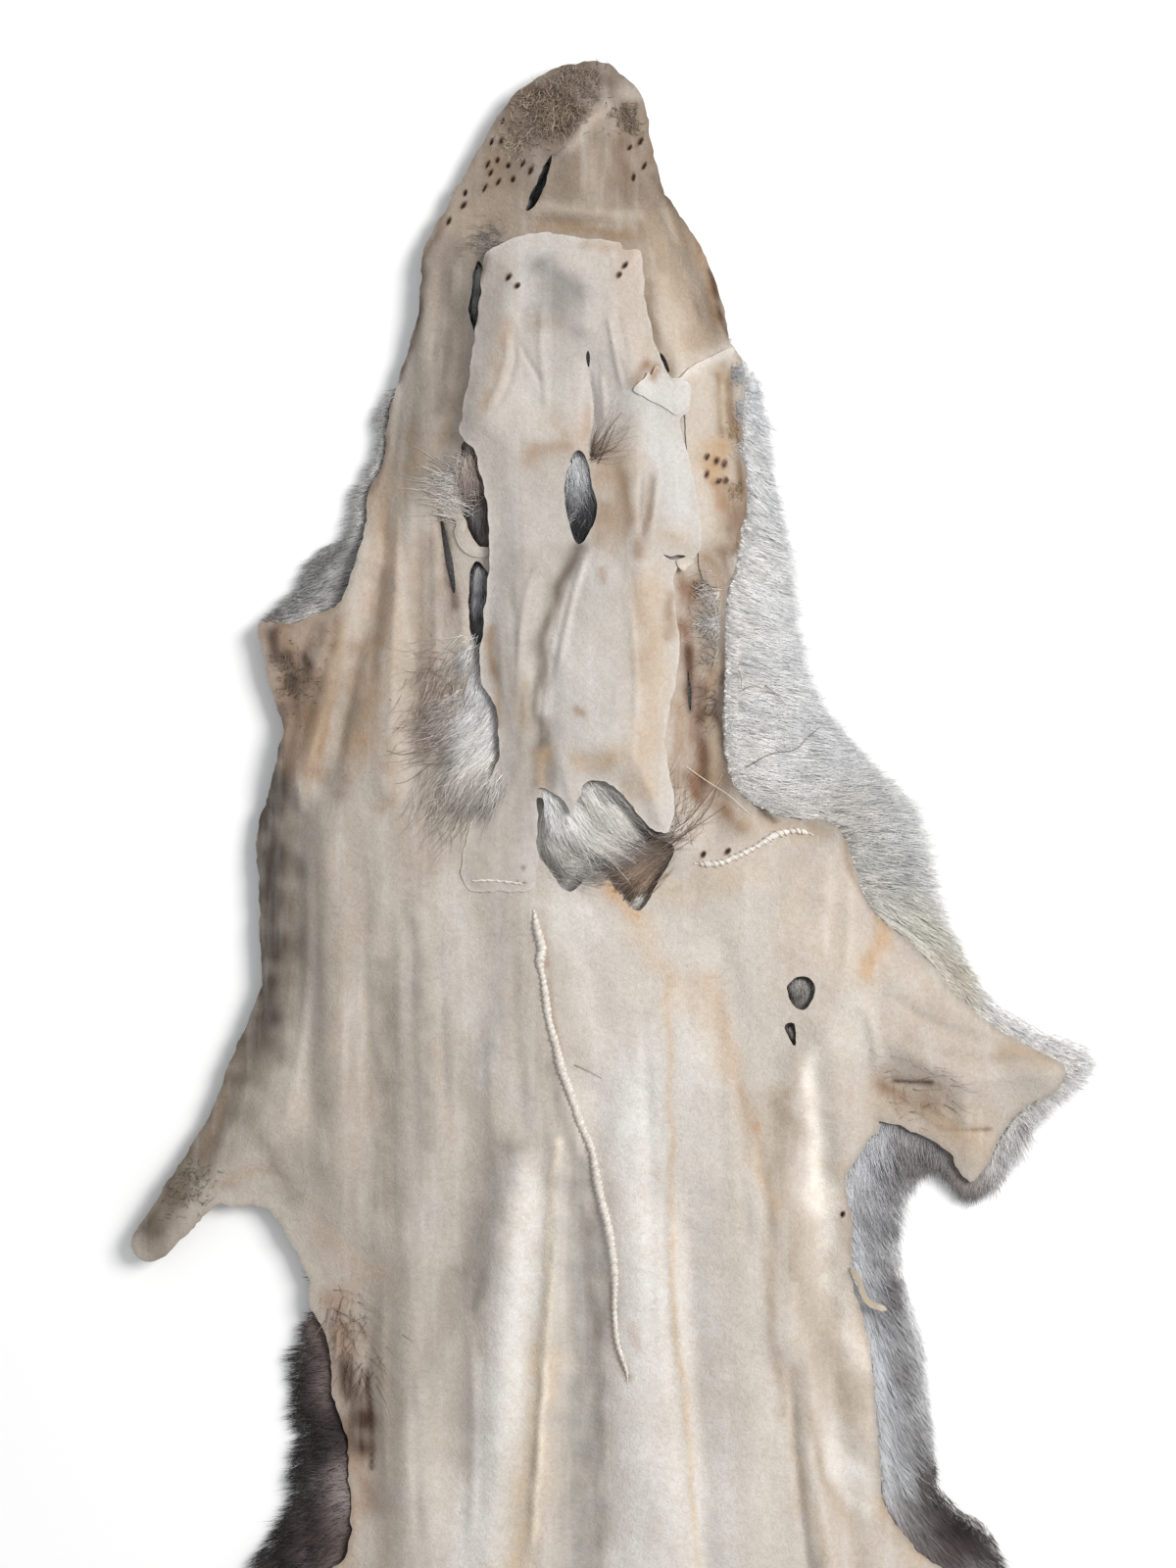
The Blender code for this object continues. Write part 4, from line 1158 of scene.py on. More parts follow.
def closed_sheet(name, loops, top, foot, fine, coarse, colour, extra=None):
    """A body with fine rows above and coarse ones below, and extra points where they are given."""
    rows = grid_of(loops[0], fine)
    if extra is not None:
        rows = np.vstack([extra, rows[Line(extra).distance(rows) > EXTRA_CLEAR]])
    lower_rows = grid_of(loops[0], coarse)
    return closed_body(name, loops, rows, fine * 0.3, lower_rows, coarse * 0.4, top, foot, colour)


def plan_area(points, faces):
    """The area of the triangles in the plan, in square metres."""
    a, b, c = (points[faces[:, i]] for i in range(3))
    cross = (b - a)[:, 0] * (c - a)[:, 1] - (b - a)[:, 1] * (c - a)[:, 0]
    return np.abs(cross).sum() / 2 * MM * MM


def roughened(loop, amount, seed):
    """A cut edge that isn't quite smooth."""
    out = outwards(np.roll(loop, -1, axis=0) - np.roll(loop, 1, axis=0))
    uneven = wobbled(loop, [(0.6, 4.5, seed), (0.4, 1.8, seed + 1)])
    return loop + out * (amount * uneven)[:, None]


# %% [markdown]
# The hide is one sheet of leather, from the nose to the root of the tail. Its rim was trimmed with
# a knife, so it is roughened by a fraction of a millimetre. It stands for the solid of the same
# name, in the same place.

# %% Make the hide
HIDE_FINE = 1.35
HIDE_COARSE = 4.0
RIM_STEP = 1.5
HOLE_STEP = 0.9
EDGE_ROUGH = 0.45
HOLE_ROUGH = 0.3

hide_rim = roughened(closed_curve(hide_corners, RIM_STEP), EDGE_ROUGH, 21)
hide_holes = [
    roughened(closed_curve(loop, HOLE_STEP), HOLE_ROUGH, 31 + i)
    for i, loop in enumerate(HIDE_HOLES.values())
]
hide_loops = [hide_rim, *hide_holes, *slit_loops(HIDE_SLITS)]


def hide_colour(points):
    colour = coloured(points, HIDE_BASE, HIDE_MARKS, 41)
    edge = np.exp(-(hide_line.distance(points) / 1.2) ** 2)[:, None]
    return hide_pits.darkened(points, colour * (1 - 0.22 * edge))


hide, hide_area = closed_sheet(
    "hide_leather", hide_loops, hide_top, lambda points: hide_top(points) - HIDE_THICK,
    HIDE_FINE, HIDE_COARSE, hide_colour, hide_pits.rings(),
)
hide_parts("hide")

# %% [markdown]
# The skin of the lower jaw, throat and chest hangs from the mouth on a whole pelt. Here it is
# turned up over the neck, so it is a second sheet with its own torn edges and its own hole.

# %% Make the throat's skin
THROAT_FINE = 0.85
THROAT_COARSE = 3.0

throat_rim = roughened(closed_curve(throat_corners, 1.0), 0.4, 51)
throat_hole = roughened(closed_curve(THROAT_HOLE, 0.8), 0.25, 53)
throat_loops = [throat_rim, throat_hole, *slit_loops(THROAT_SLITS)]


def throat_colour(points):
    colour = coloured(points, THROAT_BASE, THROAT_MARKS, 61)
    edge = np.exp(-(throat_line.distance(points) / 0.8) ** 2)[:, None]
    return throat_pits.darkened(points, colour * (1 + 0.1 * edge))


throat, throat_area = closed_sheet(
    "throat_leather", throat_loops, throat_top,
    lambda points: throat_top(points) - throat_thickness(points),
    THROAT_FINE, THROAT_COARSE, throat_colour, throat_pits.rings(),
)
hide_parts("throat_skin")

# %% [markdown]
# Where the skin tore or was folded, small tongues of leather lie on top of it. Each is a sheet
# like the others, much smaller, lifted a little at its free edge.

# %% Tongues of leather on the skin
Tongue = namedtuple("Tongue", "name under lift free_lift thick colour outline free_edge")

TONGUES = [
    Tongue(
        "torn_tongue", throat_top, -0.25, 0.5, 0.8, (218, 216, 213),
        [(646, 402), (652, 393), (657, 389), (661, 382), (664, 386), (669, 376), (675, 380), (679, 386),
         (686, 391), (693, 389), (703, 394), (704, 406), (702, 416), (690, 425), (680, 420), (668, 414),
         (656, 408)],
        [(652, 393), (671, 371)],
    ),
    Tongue(
        "cheek_fold", hide_top, -0.3, 1.0, 0.9, (206, 195, 183),
        [(685, 388), (693, 387), (700, 380), (709, 372), (722, 365), (734, 359), (750, 353), (747, 366),
         (746, 380), (750, 400), (751, 430), (753, 452), (760, 478), (760, 505), (760, 528), (752, 546),
         (752, 570), (746, 590), (730, 598), (716, 584), (711, 545), (705, 500), (700, 450), (699, 420),
         (697, 400)],
        [(686, 388), (709, 372), (722, 365), (748, 354)],
    ),
    Tongue(
        "edge_strip", hide_top, 0.1, 0.4, 0.7, (206, 192, 172),
        [(868, 1294), (875, 1298), (880, 1309), (884, 1321), (891, 1329), (902, 1333), (905, 1338),
         (896, 1337), (886, 1333), (879, 1323), (875, 1311), (869, 1300)],
        [(900, 1335)],
    ),
    Tongue(
        "neck_bridge", hide_top, -0.3, 0.5, 0.8, (206, 198, 188),
        [(452, 516), (464, 520), (476, 532), (474, 548), (484, 558), (498, 560), (497, 569), (482, 568),
         (470, 560), (464, 545), (466, 534), (454, 524)],
        [(474, 540)],
    ),
    Tongue(
        "torn_notch", throat_top, -0.2, 0.5, 0.7, (206, 198, 188),
        [(690, 572), (697, 570), (706, 569), (708, 574), (702, 578), (698, 583), (692, 579)],
        [(702, 578)],
    ),
]


OWN_MARKS = {"cheek_fold": HIDE_MARKS, "torn_tongue": THROAT_MARKS, "torn_notch": THROAT_MARKS}
TONGUE_STEP = 0.8
TONGUE_ROUGH = 0.15
FREE_EDGE_RUN = 3.0
FREE_EDGE_PALE = 1.3


def tongue_sheet(tongue):
    outline = closed_curve(in_plan(tongue.outline), TONGUE_STEP)
    rim = roughened(outline, TONGUE_ROUGH, len(tongue.outline))
    free = in_plan(tongue.free_edge)
    if len(free) > 1:
        free = open_curve(free, PATH_STEP)

    def top(points):
        lifted = tongue.free_lift * nearness(points, free, FREE_EDGE_RUN)
        return tongue.under(points) + tongue.lift + tongue.thick + lifted

    def colour(points):
        plain = coloured(points, tongue.colour, OWN_MARKS.get(tongue.name, []), 41)
        edge = 0.7 * nearness(points, free, FREE_EDGE_PALE)[:, None]
        return hide_pits.darkened(points, blended(plain, seen(*PALE_SKIN), edge))

    def foot(points):
        return top(points) - tongue.thick

    piece, _ = closed_sheet(tongue.name, [rim], top, foot, TONGUE_STEP, 2 * TONGUE_STEP, colour)
    return piece


tongues = [tongue_sheet(tongue) for tongue in TONGUES]

# %% [markdown]
# Tears are closed by overcasting: the two edges are held together and the thread goes over and
# over them, which leaves a raised cord of skin with a stitch at each bump. It is built as it was
# sewn, a lumpy welt and separate turns of thread over it. A bump texture would vanish at its edge.

# %% A tube along a path
def tube(path, radii, sides, upright):
    """Corners and faces of a closed tube. Upright is a direction that the path never follows."""
    run = np.gradient(path, axis=0)
    run /= np.linalg.norm(run, axis=1, keepdims=True)
    side = np.cross(run, upright)
    side /= np.linalg.norm(side, axis=1, keepdims=True)
    up = np.cross(side, run)
    turn = np.linspace(0, 2 * np.pi, sides, endpoint=False)
    ring = side[:, None, :] * np.cos(turn)[None, :, None] + up[:, None, :] * np.sin(turn)[None, :, None]
    corners = (path[:, None, :] + ring * radii[:, None, None]).reshape(-1, 3)
    faces = []
    for i in range(len(path) - 1):
        for k in range(sides):
            a, b = i * sides + k, i * sides + (k + 1) % sides
            faces += [(a, b, b + sides), (a, b + sides, a + sides)]
    last = (len(path) - 1) * sides
    for k in range(1, sides - 1):
        faces += [(0, k + 1, k), (last, last + k, last + k + 1)]
    return corners, np.array(faces)


def joined(parts):
    """Several corner and face lists as one."""
    corners, faces, first = [], [], 0
    for some_corners, some_faces in parts:
        corners.append(some_corners)
        faces.append(some_faces + first)
        first += len(some_corners)
    return np.vstack(corners), np.vstack(faces)


# %% Sew the seams
Seam = namedtuple("Seam", "name radius pitch lean thread thins path")

SEAMS = [
    Seam(
        "back_seam", 1.25, 1.9, 0.8, 0.1, 45,
        [(545, 928), (548, 947), (553, 967), (551, 982), (555, 1003), (560, 1039), (567, 1064), (573, 1090),
         (583, 1118), (593, 1148), (604, 1174), (611, 1213), (621, 1253), (627, 1297), (627, 1335),
         (630, 1368), (639, 1396), (640, 1410)],
    ),
    Seam("left_chest_seam", 0.36, 2.6, 0.7, 0.08, 5, [(476, 899), (500, 898), (522, 900), (541, 903)]),
    Seam(
        "right_chest_seam", 0.95, 2.2, 0.9, 0.17, 5,
        [(708, 881), (731, 881), (751, 874), (775, 862), (792, 852), (813, 848), (832, 852)],
    ),
]
SEAM_STEP = 0.38
WELT_BUMP = 0.1
# A welt narrows over this run at its ends.
WELT_TAPER = 5
# How far a turn of thread goes round the welt to each side, in radians, and its points.
THREAD_SWING = 1.25
THREAD_POINTS = 9


def seam_corners(seam, seed):
    """The welt of skin, and the turns of thread over it."""
    rng = np.random.default_rng(seed)
    plan = open_curve(in_plan(seam.path), SEAM_STEP)
    walked = np.arange(len(plan)) * SEAM_STEP
    beat = 2 * np.pi * walked / seam.pitch
    run = np.gradient(plan, axis=0)
    run /= np.linalg.norm(run, axis=1, keepdims=True)
    side = np.stack([-run[:, 1], run[:, 0]], axis=1)
    bumpy = plan + side * (WELT_BUMP * np.sin(beat))[:, None]
    taper = eased(np.minimum(walked, walked[-1] - walked) / WELT_TAPER) * 0.7 + 0.3
    taper = taper * (0.45 + 0.55 * eased((walked[-1] - walked) / seam.thins))
    uneven = 0.12 * np.cos(beat) + 0.1 * wobble(plan, 2.4, seed) + 0.14 * wobble(plan, 8, seed + 5)
    radii = seam.radius * taper * (1 + uneven)
    on_throat = inside(plan, throat_line.points)
    rise = np.where(on_throat, throat_top(plan), hide_top(plan)) + 0.12 * radii
    welt = tube(in_frame(bumpy, rise), radii * MM, 10, np.array([0, 0, 1.0]))
    threads = []
    for middle in np.arange(seam.pitch, walked[-1] - seam.pitch / 2, seam.pitch):
        i = int(middle / SEAM_STEP + rng.uniform(-1.6, 1.6))
        i = min(max(i, 0), len(plan) - 1)
        swing = np.linspace(-THREAD_SWING, THREAD_SWING, THREAD_POINTS)
        reach = radii[i] + seam.thread * 0.5
        over = plan[i] + side[i] * (reach * np.sin(swing))[:, None] * 1.15
        over = over + run[i] * (seam.lean * swing / THREAD_SWING * rng.uniform(0.8, 1.2))[:, None]
        height = rise[i] + reach * np.cos(swing)
        ahead = np.array([run[i][0], -run[i][1], 0.0])
        even_radius = np.full(THREAD_POINTS, seam.thread * MM)
        threads.append(tube(in_frame(over, height), even_radius, 5, ahead))
    return welt, joined(threads)


welts, threads = [], []
for seed, seam in enumerate(SEAMS):
    welt, sewing = seam_corners(seam, 70 + seed)
    welts.append(welt)
    threads.append(sewing)
welt_corners, welt_faces = joined(welts)
seam_welts = new_piece("seam_welts", welt_corners, welt_faces)
thread_corners, thread_faces = joined(threads)
seam_threads = new_piece("seam_threads", thread_corners, thread_faces)
print("seam triangles", len(welt_faces) + len(thread_faces))

# %% [markdown]
# Under the hairs that can be told apart lies the wool, too fine and too dense to build hair by
# hair. It is a lumpy body with short locks at its rim, flat where the pelt lies on the floor. Its
# shader draws the streaks, and the hairs grow out of it.

# %% The wool's height and rim
WOOL_LOCKS = 430
WOOL_SHORTER = 3.2
LOCK_CUT = 0.5
LOCK_TIP_THICK = 0.9
LOCK_ROOT_THICK = 4.9
FUR_THINS_OVER = 9.0
WOOL_THINNEST = 0.5
WOOL_UNDER = 0.9
# How much further the wool lies under the hide away from the rim.
WOOL_SAG = 1.6
WOOL_SAG_RUN = 8
WOOL_LUMPS = [(0.5, 9, 81), (0.25, 3.5, 82)]
DEEPEST_CUT = 4.5

# How far the wool swells up into each hole, and how far from its edge.
Swell = namedtuple("Swell", "rise run")

SWELLS = {
    "chest": Swell(3.2, 5.0),
    "upper neck slit": Swell(2.6, 2.5),
    "lower neck slit": Swell(2.4, 2.0),
    "left corner of the mouth": Swell(1.8, 1.6),
    "shoulder": Swell(2.2, 2.0),
    "small one on the shoulder": Swell(1.8, 1.6),
}
hole_lines = {name: Line(closed_curve(HIDE_HOLES[name], LINE_STEP)) for name in SWELLS}


def wool_top(points):
    """The wool reaches up to the hide, and thins out to its tips where it shows."""
    past = hide_line.distance(points)
    covered = inside(points, hide_line.points)
    lumps = wobbled(points, WOOL_LUMPS)
    thinned = LOCK_TIP_THICK + (LOCK_ROOT_THICK - LOCK_TIP_THICK) * np.exp(-past / FUR_THINS_OVER)
    thinned = np.maximum(thinned + lumps * eased(past / FUR_THINS_OVER), WOOL_THINNEST)
    at_rim = HIDE_RIM - HIDE_THICK - GAP
    under = smooth_hide_top(points) - HIDE_THICK - WOOL_UNDER - WOOL_SAG * eased(past / WOOL_SAG_RUN)
    for name, swell in SWELLS.items():
        some = np.flatnonzero(inside(points, hole_lines[name].points))
        under[some] += swell.rise * eased(hole_lines[name].distance(points[some]) / swell.run)
    return np.where(covered, np.maximum(under, WOOL_THINNEST), np.minimum(thinned, at_rim))


def wool_rim():
    """The rim of the wool: short locks where it passes the hide."""
    rng = np.random.default_rng(9)
    reach = closed_curve(reach_corners, 0.8)
    out = outwards(np.roll(reach, -1, axis=0) - np.roll(reach, 1, axis=0))
    past = hide_line.distance(reach) * ~inside(reach, hide_line.points)
    reach = reach - out * np.minimum(WOOL_SHORTER, past)[:, None]
    rim = []
    step = len(reach) / WOOL_LOCKS
    for lock in range(WOOL_LOCKS):
        root = int(lock * step)
        tip = min(int((lock + 0.5 + rng.uniform(-0.2, 0.2)) * step), len(reach) - 1)
        cut = min(LOCK_CUT * rng.uniform(0.5, 1) * past[root], DEEPEST_CUT)
        rim.append(reach[root] - out[root] * cut)
        rim.append(reach[tip])
    return np.array(rim)


wool_loop = wool_rim()

# The rows of points lie this far apart where the wool shows, under the hide, and at its foot.
WOOL_FINE = 1.7
WOOL_COARSE = 7.0
WOOL_FOOT = 9.0


def wool_rows():
    """Fine points where the wool shows, and coarse ones under the hide."""
    fine = grid_of(wool_loop, WOOL_FINE)
    shows = ~inside(fine, hide_line.points) | (hide_line.distance(fine) < 3)
    for hole in hide_holes:
        near = nearness(fine, hole.mean(axis=0)[None, :], float(np.ptp(hole, axis=0).max()) * 0.8)
        shows |= near > 0.4
    coarse = grid_of(wool_loop, WOOL_COARSE)
    hidden = inside(coarse, hide_line.points) & (hide_line.distance(coarse) > 5)
    clear = Line(fine[shows]).distance(coarse) > WOOL_COARSE / 2
    return np.vstack([fine[shows], coarse[hidden & clear]])


# %% [markdown]
# Fur is combed by its growth: it lies back and away from the middle, and its colour changes from
# root to tip. A comb is a short list of places that say how it lies there, how long it is, and
# its two colours. Between the places the comb is mixed by distance, so it turns smoothly.

# %% The comb, in the picture's pixels
Comb = namedtuple("Comb", "x y heading length root tip")

WHITE_HAIR = (250, 248, 245)
SMOKE = (170, 171, 175)
DUSK = (98, 88, 86)
LEMON = (232, 226, 213)

# Headings are in degrees, clockwise from the picture's right.
COMB = [
    Comb(765, 390, 25, 7, (232, 233, 235), (234, 235, 238)),
    Comb(780, 480, 30, 10, (244, 244, 244), (240, 241, 243)),
    Comb(785, 580, 20, 13, WHITE_HAIR, (244, 245, 246)),
    Comb(790, 680, 12, 16, WHITE_HAIR, (241, 242, 244)),
    Comb(810, 760, 8, 19, WHITE_HAIR, (224, 225, 228)),
    Comb(850, 830, -6, 19, (230, 227, 222), (202, 202, 201)),
    Comb(905, 850, 0, 16, (232, 232, 230), (240, 240, 241)),
    Comb(900, 880, 8, 16, (228, 226, 221), (200, 201, 201)),
    Comb(955, 900, 15, 16, (246, 246, 246), (250, 250, 250)),
    Comb(930, 930, 30, 14, (236, 233, 224), (222, 219, 209)),
    Comb(975, 985, 35, 12, LEMON, (214, 208, 196)),
    Comb(1030, 1040, 30, 10, (240, 238, 235), (246, 246, 247)),
    Comb(1095, 1080, 10, 7, (236, 234, 231), (246, 246, 247)),
    Comb(1070, 1120, 40, 8, (226, 223, 220), (236, 236, 238)),
    Comb(1030, 1180, 70, 8, (206, 202, 200), (226, 225, 226)),
    Comb(985, 1200, 100, 6, (150, 142, 138), (132, 124, 121)),
    Comb(940, 1160, 85, 12, (160, 156, 156), (120, 108, 106)),
    Comb(895, 1180, 75, 14, (206, 207, 211), (146, 141, 142)),
    Comb(885, 1240, 66, 16, (216, 218, 222), (134, 128, 129)),
    Comb(935, 1250, 66, 12, (240, 241, 243), (248, 248, 249)),
    Comb(895, 1320, 60, 15, (214, 216, 220), (108, 99, 99)),
    Comb(948, 1330, 60, 12, (240, 241, 243), (248, 248, 249)),
    Comb(905, 1400, 58, 15, (216, 218, 222), (104, 94, 94)),
    Comb(952, 1400, 58, 12, (232, 232, 234), (246, 246, 247)),
    Comb(908, 1490, 55, 18, (214, 216, 219), (160, 156, 158)),
    Comb(950, 1510, 55, 20, (146, 136, 135), (66, 52, 50)),
    Comb(980, 1480, 52, 14, (214, 212, 213), (238, 238, 239)),
    Comb(975, 1560, 50, 22, (120, 108, 106), (58, 44, 42)),
    Comb(1010, 1610, 45, 22, (196, 196, 198), (76, 62, 62)),
    Comb(365, 500, 168, 11, (198, 197, 195), (166, 165, 164)),
    Comb(340, 560, 158, 13, (188, 187, 185), (144, 143, 142)),
    Comb(300, 605, 165, 10, (188, 186, 184), (156, 154, 153)),
    Comb(262, 640, 190, 6, (150, 140, 132), DUSK),
    Comb(260, 900, 180, 5, (196, 192, 188), SMOKE),
    Comb(200, 1200, 160, 5, (170, 164, 158), DUSK),
    Comb(326, 1350, 172, 7, (128, 112, 108), (62, 50, 48)),
    Comb(336, 1410, 170, 8, (118, 102, 100), (72, 60, 58)),
    Comb(308, 1410, 170, 7, (36, 26, 24), (20, 13, 12)),
    Comb(342, 1465, 168, 8, (42, 31, 28), (26, 18, 16)),
    Comb(308, 1500, 165, 8, (40, 30, 28), (22, 15, 14)),
    Comb(352, 1520, 165, 9, (140, 128, 126), (84, 73, 72)),
    Comb(322, 1560, 160, 12, (92, 78, 74), (44, 34, 32)),
    Comb(285, 1580, 155, 12, (48, 38, 36), (20, 14, 13)),
    Comb(262, 1610, 150, 17, (118, 108, 108), (62, 52, 52)),
    Comb(1120, 1780, 20, 16, (180, 180, 184), (84, 72, 72)),
    Comb(1000, 1930, 60, 16, (176, 174, 178), (84, 72, 72)),
    Comb(860, 2110, 72, 17, (176, 174, 178), (80, 68, 68)),
    Comb(600, 2200, 90, 18, (170, 168, 172), (76, 64, 64)),
    Comb(340, 2110, 108, 17, (170, 168, 172), (76, 64, 64)),
    Comb(210, 1930, 120, 16, (150, 146, 148), (72, 60, 60)),
    Comb(80, 1780, 160, 16, (140, 134, 134), (66, 56, 56)),
]


# Within this many millimetres of a place, its own comb rules.
COMB_REACH = 6


def combed(points):
    """Heading, length and the two colours of the fur at each point of the plan."""
    places = in_plan([(comb.x, comb.y) for comb in COMB])
    away = np.linalg.norm(points[:, None, :] - places, axis=2)
    share = 1 / (away**2 + COMB_REACH**2) ** 2
    share /= share.sum(axis=1, keepdims=True)
    turns = np.radians([comb.heading for comb in COMB])
    heading = np.arctan2(share @ np.sin(turns), share @ np.cos(turns))
    length = share @ np.array([comb.length for comb in COMB], float)
    root = share @ np.array([seen(*comb.root) for comb in COMB])
    tip = share @ np.array([seen(*comb.tip) for comb in COMB])
    return heading, length, root, tip


# %% Make the wool
HOLE_SHADES = {
    "chest": (226, 224, 219),
    "upper neck slit": (150, 138, 132),
    "lower neck slit": (112, 112, 115),
    "left corner of the mouth": (96, 97, 100),
    "eye": (46, 46, 48),
    "shoulder": (150, 147, 143),
    "small one on the shoulder": (120, 116, 113),
}


def wool_colour(points):
    _, _, root, tip = combed(points)
    out = (eased(hide_line.distance(points) / 18) * ~inside(points, hide_line.points))[:, None]
    colour = blended(root, tip, 0.6 * out)
    for name, shade in HOLE_SHADES.items():
        hole = np.array(HIDE_HOLES[name], float)
        middle = hole.mean(axis=0)
        shown = inside(points, middle + (hole - middle) * 1.25)[:, None]
        colour = blended(colour, seen(*shade), shown)
    return colour


wool, _ = closed_body(
    "wool", [wool_loop], wool_rows(), 0.7, grid_of(wool_loop, WOOL_FOOT), WOOL_FOOT / 3,
    wool_top, lambda points: np.zeros(len(points)), wool_colour,
)
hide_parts("fur_pile")

# %% Make the throat's own wool
THROAT_WOOL = (150, 151, 154)
throat_fur_loop = closed_curve(corners_of(THROAT_FUR_OUTLINE), 1.6)


def throat_wool_foot(points):
    """Just over the hide, and pressed into its nap at the sewn foot."""
    return smooth_hide_top(points) + 0.15 - 1.1 * sewn_down(points)


def throat_wool_top(points):
    fluffed = GAP - 0.15 + np.maximum(throat_lift(points) - 0.3, 0.45)
    return throat_wool_foot(points) + 0.05 + fluffed * (1 - 0.9 * sewn_down(points))


throat_wool, _ = closed_sheet(
    "throat_wool", [throat_fur_loop], throat_wool_top, throat_wool_foot, 1.8, 5.0,
    lambda points: np.tile(seen(*THROAT_WOOL), (len(points), 1)),
)
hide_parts("throat_fur")

# %% [markdown]
# A hair is a thin cone that bends. Blender's hair curves would draw thousands of them cheaply,
# but they aren't meshes, so they would be lost when the model is exported. Here each hair is a
# three-sided tapered rod of two or three lengths, and numpy makes a whole region at once. Hairs
# lean together in locks: each is drawn towards the middle of its lock, more so at its tip.

# %% Hairs from their roots
# This share of the hairs are darker guard hairs.
GUARD_HAIRS = 0.05
GUARD_DARK = 0.5
# The size of a lock, and the hairs in it.
LOCK_SIZE = 5.0
LOCK_HAIRS = 26
HAIR_LOWEST = 0.2
OVER_GROUND = 0.15


def hair_faces(lengths):
    """The faces of one closed hair whose rings have three corners, with one corner at its tip."""
    faces = [(0, 2, 1)]
    for k in range(0, 3 * (lengths - 1), 3):
        for one, two in ((0, 1), (1, 2), (2, 0)):
            faces += [(k + one, k + two, k + two + 3), (k + one, k + two + 3, k + one + 3)]
    last = 3 * (lengths - 1)
    faces += [(last, last + 1, last + 3), (last + 1, last + 2, last + 3), (last + 2, last, last + 3)]
    return np.array(faces)


def hairs(name, roots, heading, length, root_colour, tip_colour, seed, width, lift, droop, ground,
          gather, vary, stray=0.16, curl=0.05, lengths=2):
    """One mesh of closed tapered hairs that lie along a ground."""
    rng = np.random.default_rng(seed)
    count = len(roots)
    turn = heading + rng.normal(0, stray, count)
    long = length * rng.uniform(0.65, 1.15, count)
    ahead = np.stack([np.cos(turn), np.sin(turn)], axis=1)
    beside = np.stack([-ahead[:, 1], ahead[:, 0]], axis=1)
    tip = roots + ahead * long[:, None]
    shade = np.zeros(count)
    if count > 30:
        centres = roots[rng.choice(count, max(4, int(count / LOCK_HAIRS)), replace=False)]
        chosen = Line(centres).nearest(roots)
        pull = centres[chosen] - roots
        near = np.exp(-(np.linalg.norm(pull, axis=1) / LOCK_SIZE) ** 2)
        tip = tip + pull * (gather * near)[:, None]
        shade = rng.normal(0, 0.7 * vary, len(centres))[chosen]
    bend = rng.normal(0, curl, count) * long
    shares = np.linspace(0, 1, lengths + 1) ** 0.9
    along = shares[None, :, None]
    path = roots[:, None, :] * (1 - along) + tip[:, None, :] * along
    path = path + beside[:, None, :] * (bend[:, None] * np.sin(shares * np.pi))[:, :, None]
    rise = lift * rng.uniform(0.4, 1.3, count)
    fall = droop * rng.uniform(0.6, 1.3, count)
    flat = path.reshape(-1, 2)
    level = ground(flat).reshape(count, -1) + OVER_GROUND
    height = level + rise[:, None] * np.sin(shares * 0.8 * np.pi) - fall[:, None] * shares**2
    height = np.maximum(height, HAIR_LOWEST)
    spine = in_frame(flat, height.ravel()).reshape(count, -1, 3)
    side = np.stack([beside[:, 0], -beside[:, 1], np.zeros(count)], axis=1)
    up = np.tile([0.0, 0.0, 1.0], (count, 1))
    wide = width * rng.uniform(0.7, 1.3, count) * MM
    rings = []
    for k in range(lengths):
        for angle in (np.pi / 2, np.pi * 7 / 6, np.pi * 11 / 6):
            offset = side * math.cos(angle) + up * math.sin(angle)
            rings.append(spine[:, k] + offset * (wide * (1 - shares[k] ** 1.5) / 2)[:, None])
    corners = np.stack([*rings, spine[:, -1]], axis=1)
    pattern = hair_faces(lengths)
    faces = (pattern[None, :, :] + corners.shape[1] * np.arange(count)[:, None, None]).reshape(-1, 3)
    blend = np.repeat(shares, [3] * lengths + [1])[None, :, None]
    guard = np.where(rng.uniform(0, 1, count) < GUARD_HAIRS, GUARD_DARK, 1.0)
    light = (guard * (1 + rng.normal(0, vary, count) + shade))[:, None, None]
    tints = blended(root_colour[:, None, :], tip_colour[:, None, :], blend) * light
    piece = new_piece(name, corners.reshape(-1, 3), faces, np.clip(tints, 0, 1).reshape(-1, 3))
    print(name, "hairs", count, "triangles", len(faces))
    return piece


# %% Fur that stands out past the hide
# Tips may pass the line of the fur's reach by this much, and roots lie this far under the hide.
TIPS_PAST = 3.0
ROOTS_UNDER = 2.0
TRIES_A_HAIR = 14
FADED = (250, 250, 251)


def shown_roots(region, count, seed):
    """Roots between just under the hide's rim and the line that the tips reach."""
    rng = np.random.default_rng(seed)
    tries = rng.uniform(*region, (count * TRIES_A_HAIR, 2))
    tries = tries[inside(tries, reach_line.points)]
    shown = ~inside(tries, hide_line.points) | (hide_line.distance(tries) < ROOTS_UNDER)
    return tries[shown][:count]


# Each stretch of fur, with the box of its roots, its number of hairs and their width.
RIM_FUR = {
    "fur_beside_the_neck": (((40, 90), (110, 236)), 9200, 0.32),
    "fur_of_the_shoulder": (((40, 236), (185, 384)), 9000, 0.32),
    "fur_of_the_right_flank": (((80, 372), (150, 520)), 9600, 0.34),
    "fur_of_the_left": (((-135, 110), (-40, 520)), 7000, 0.34),
}


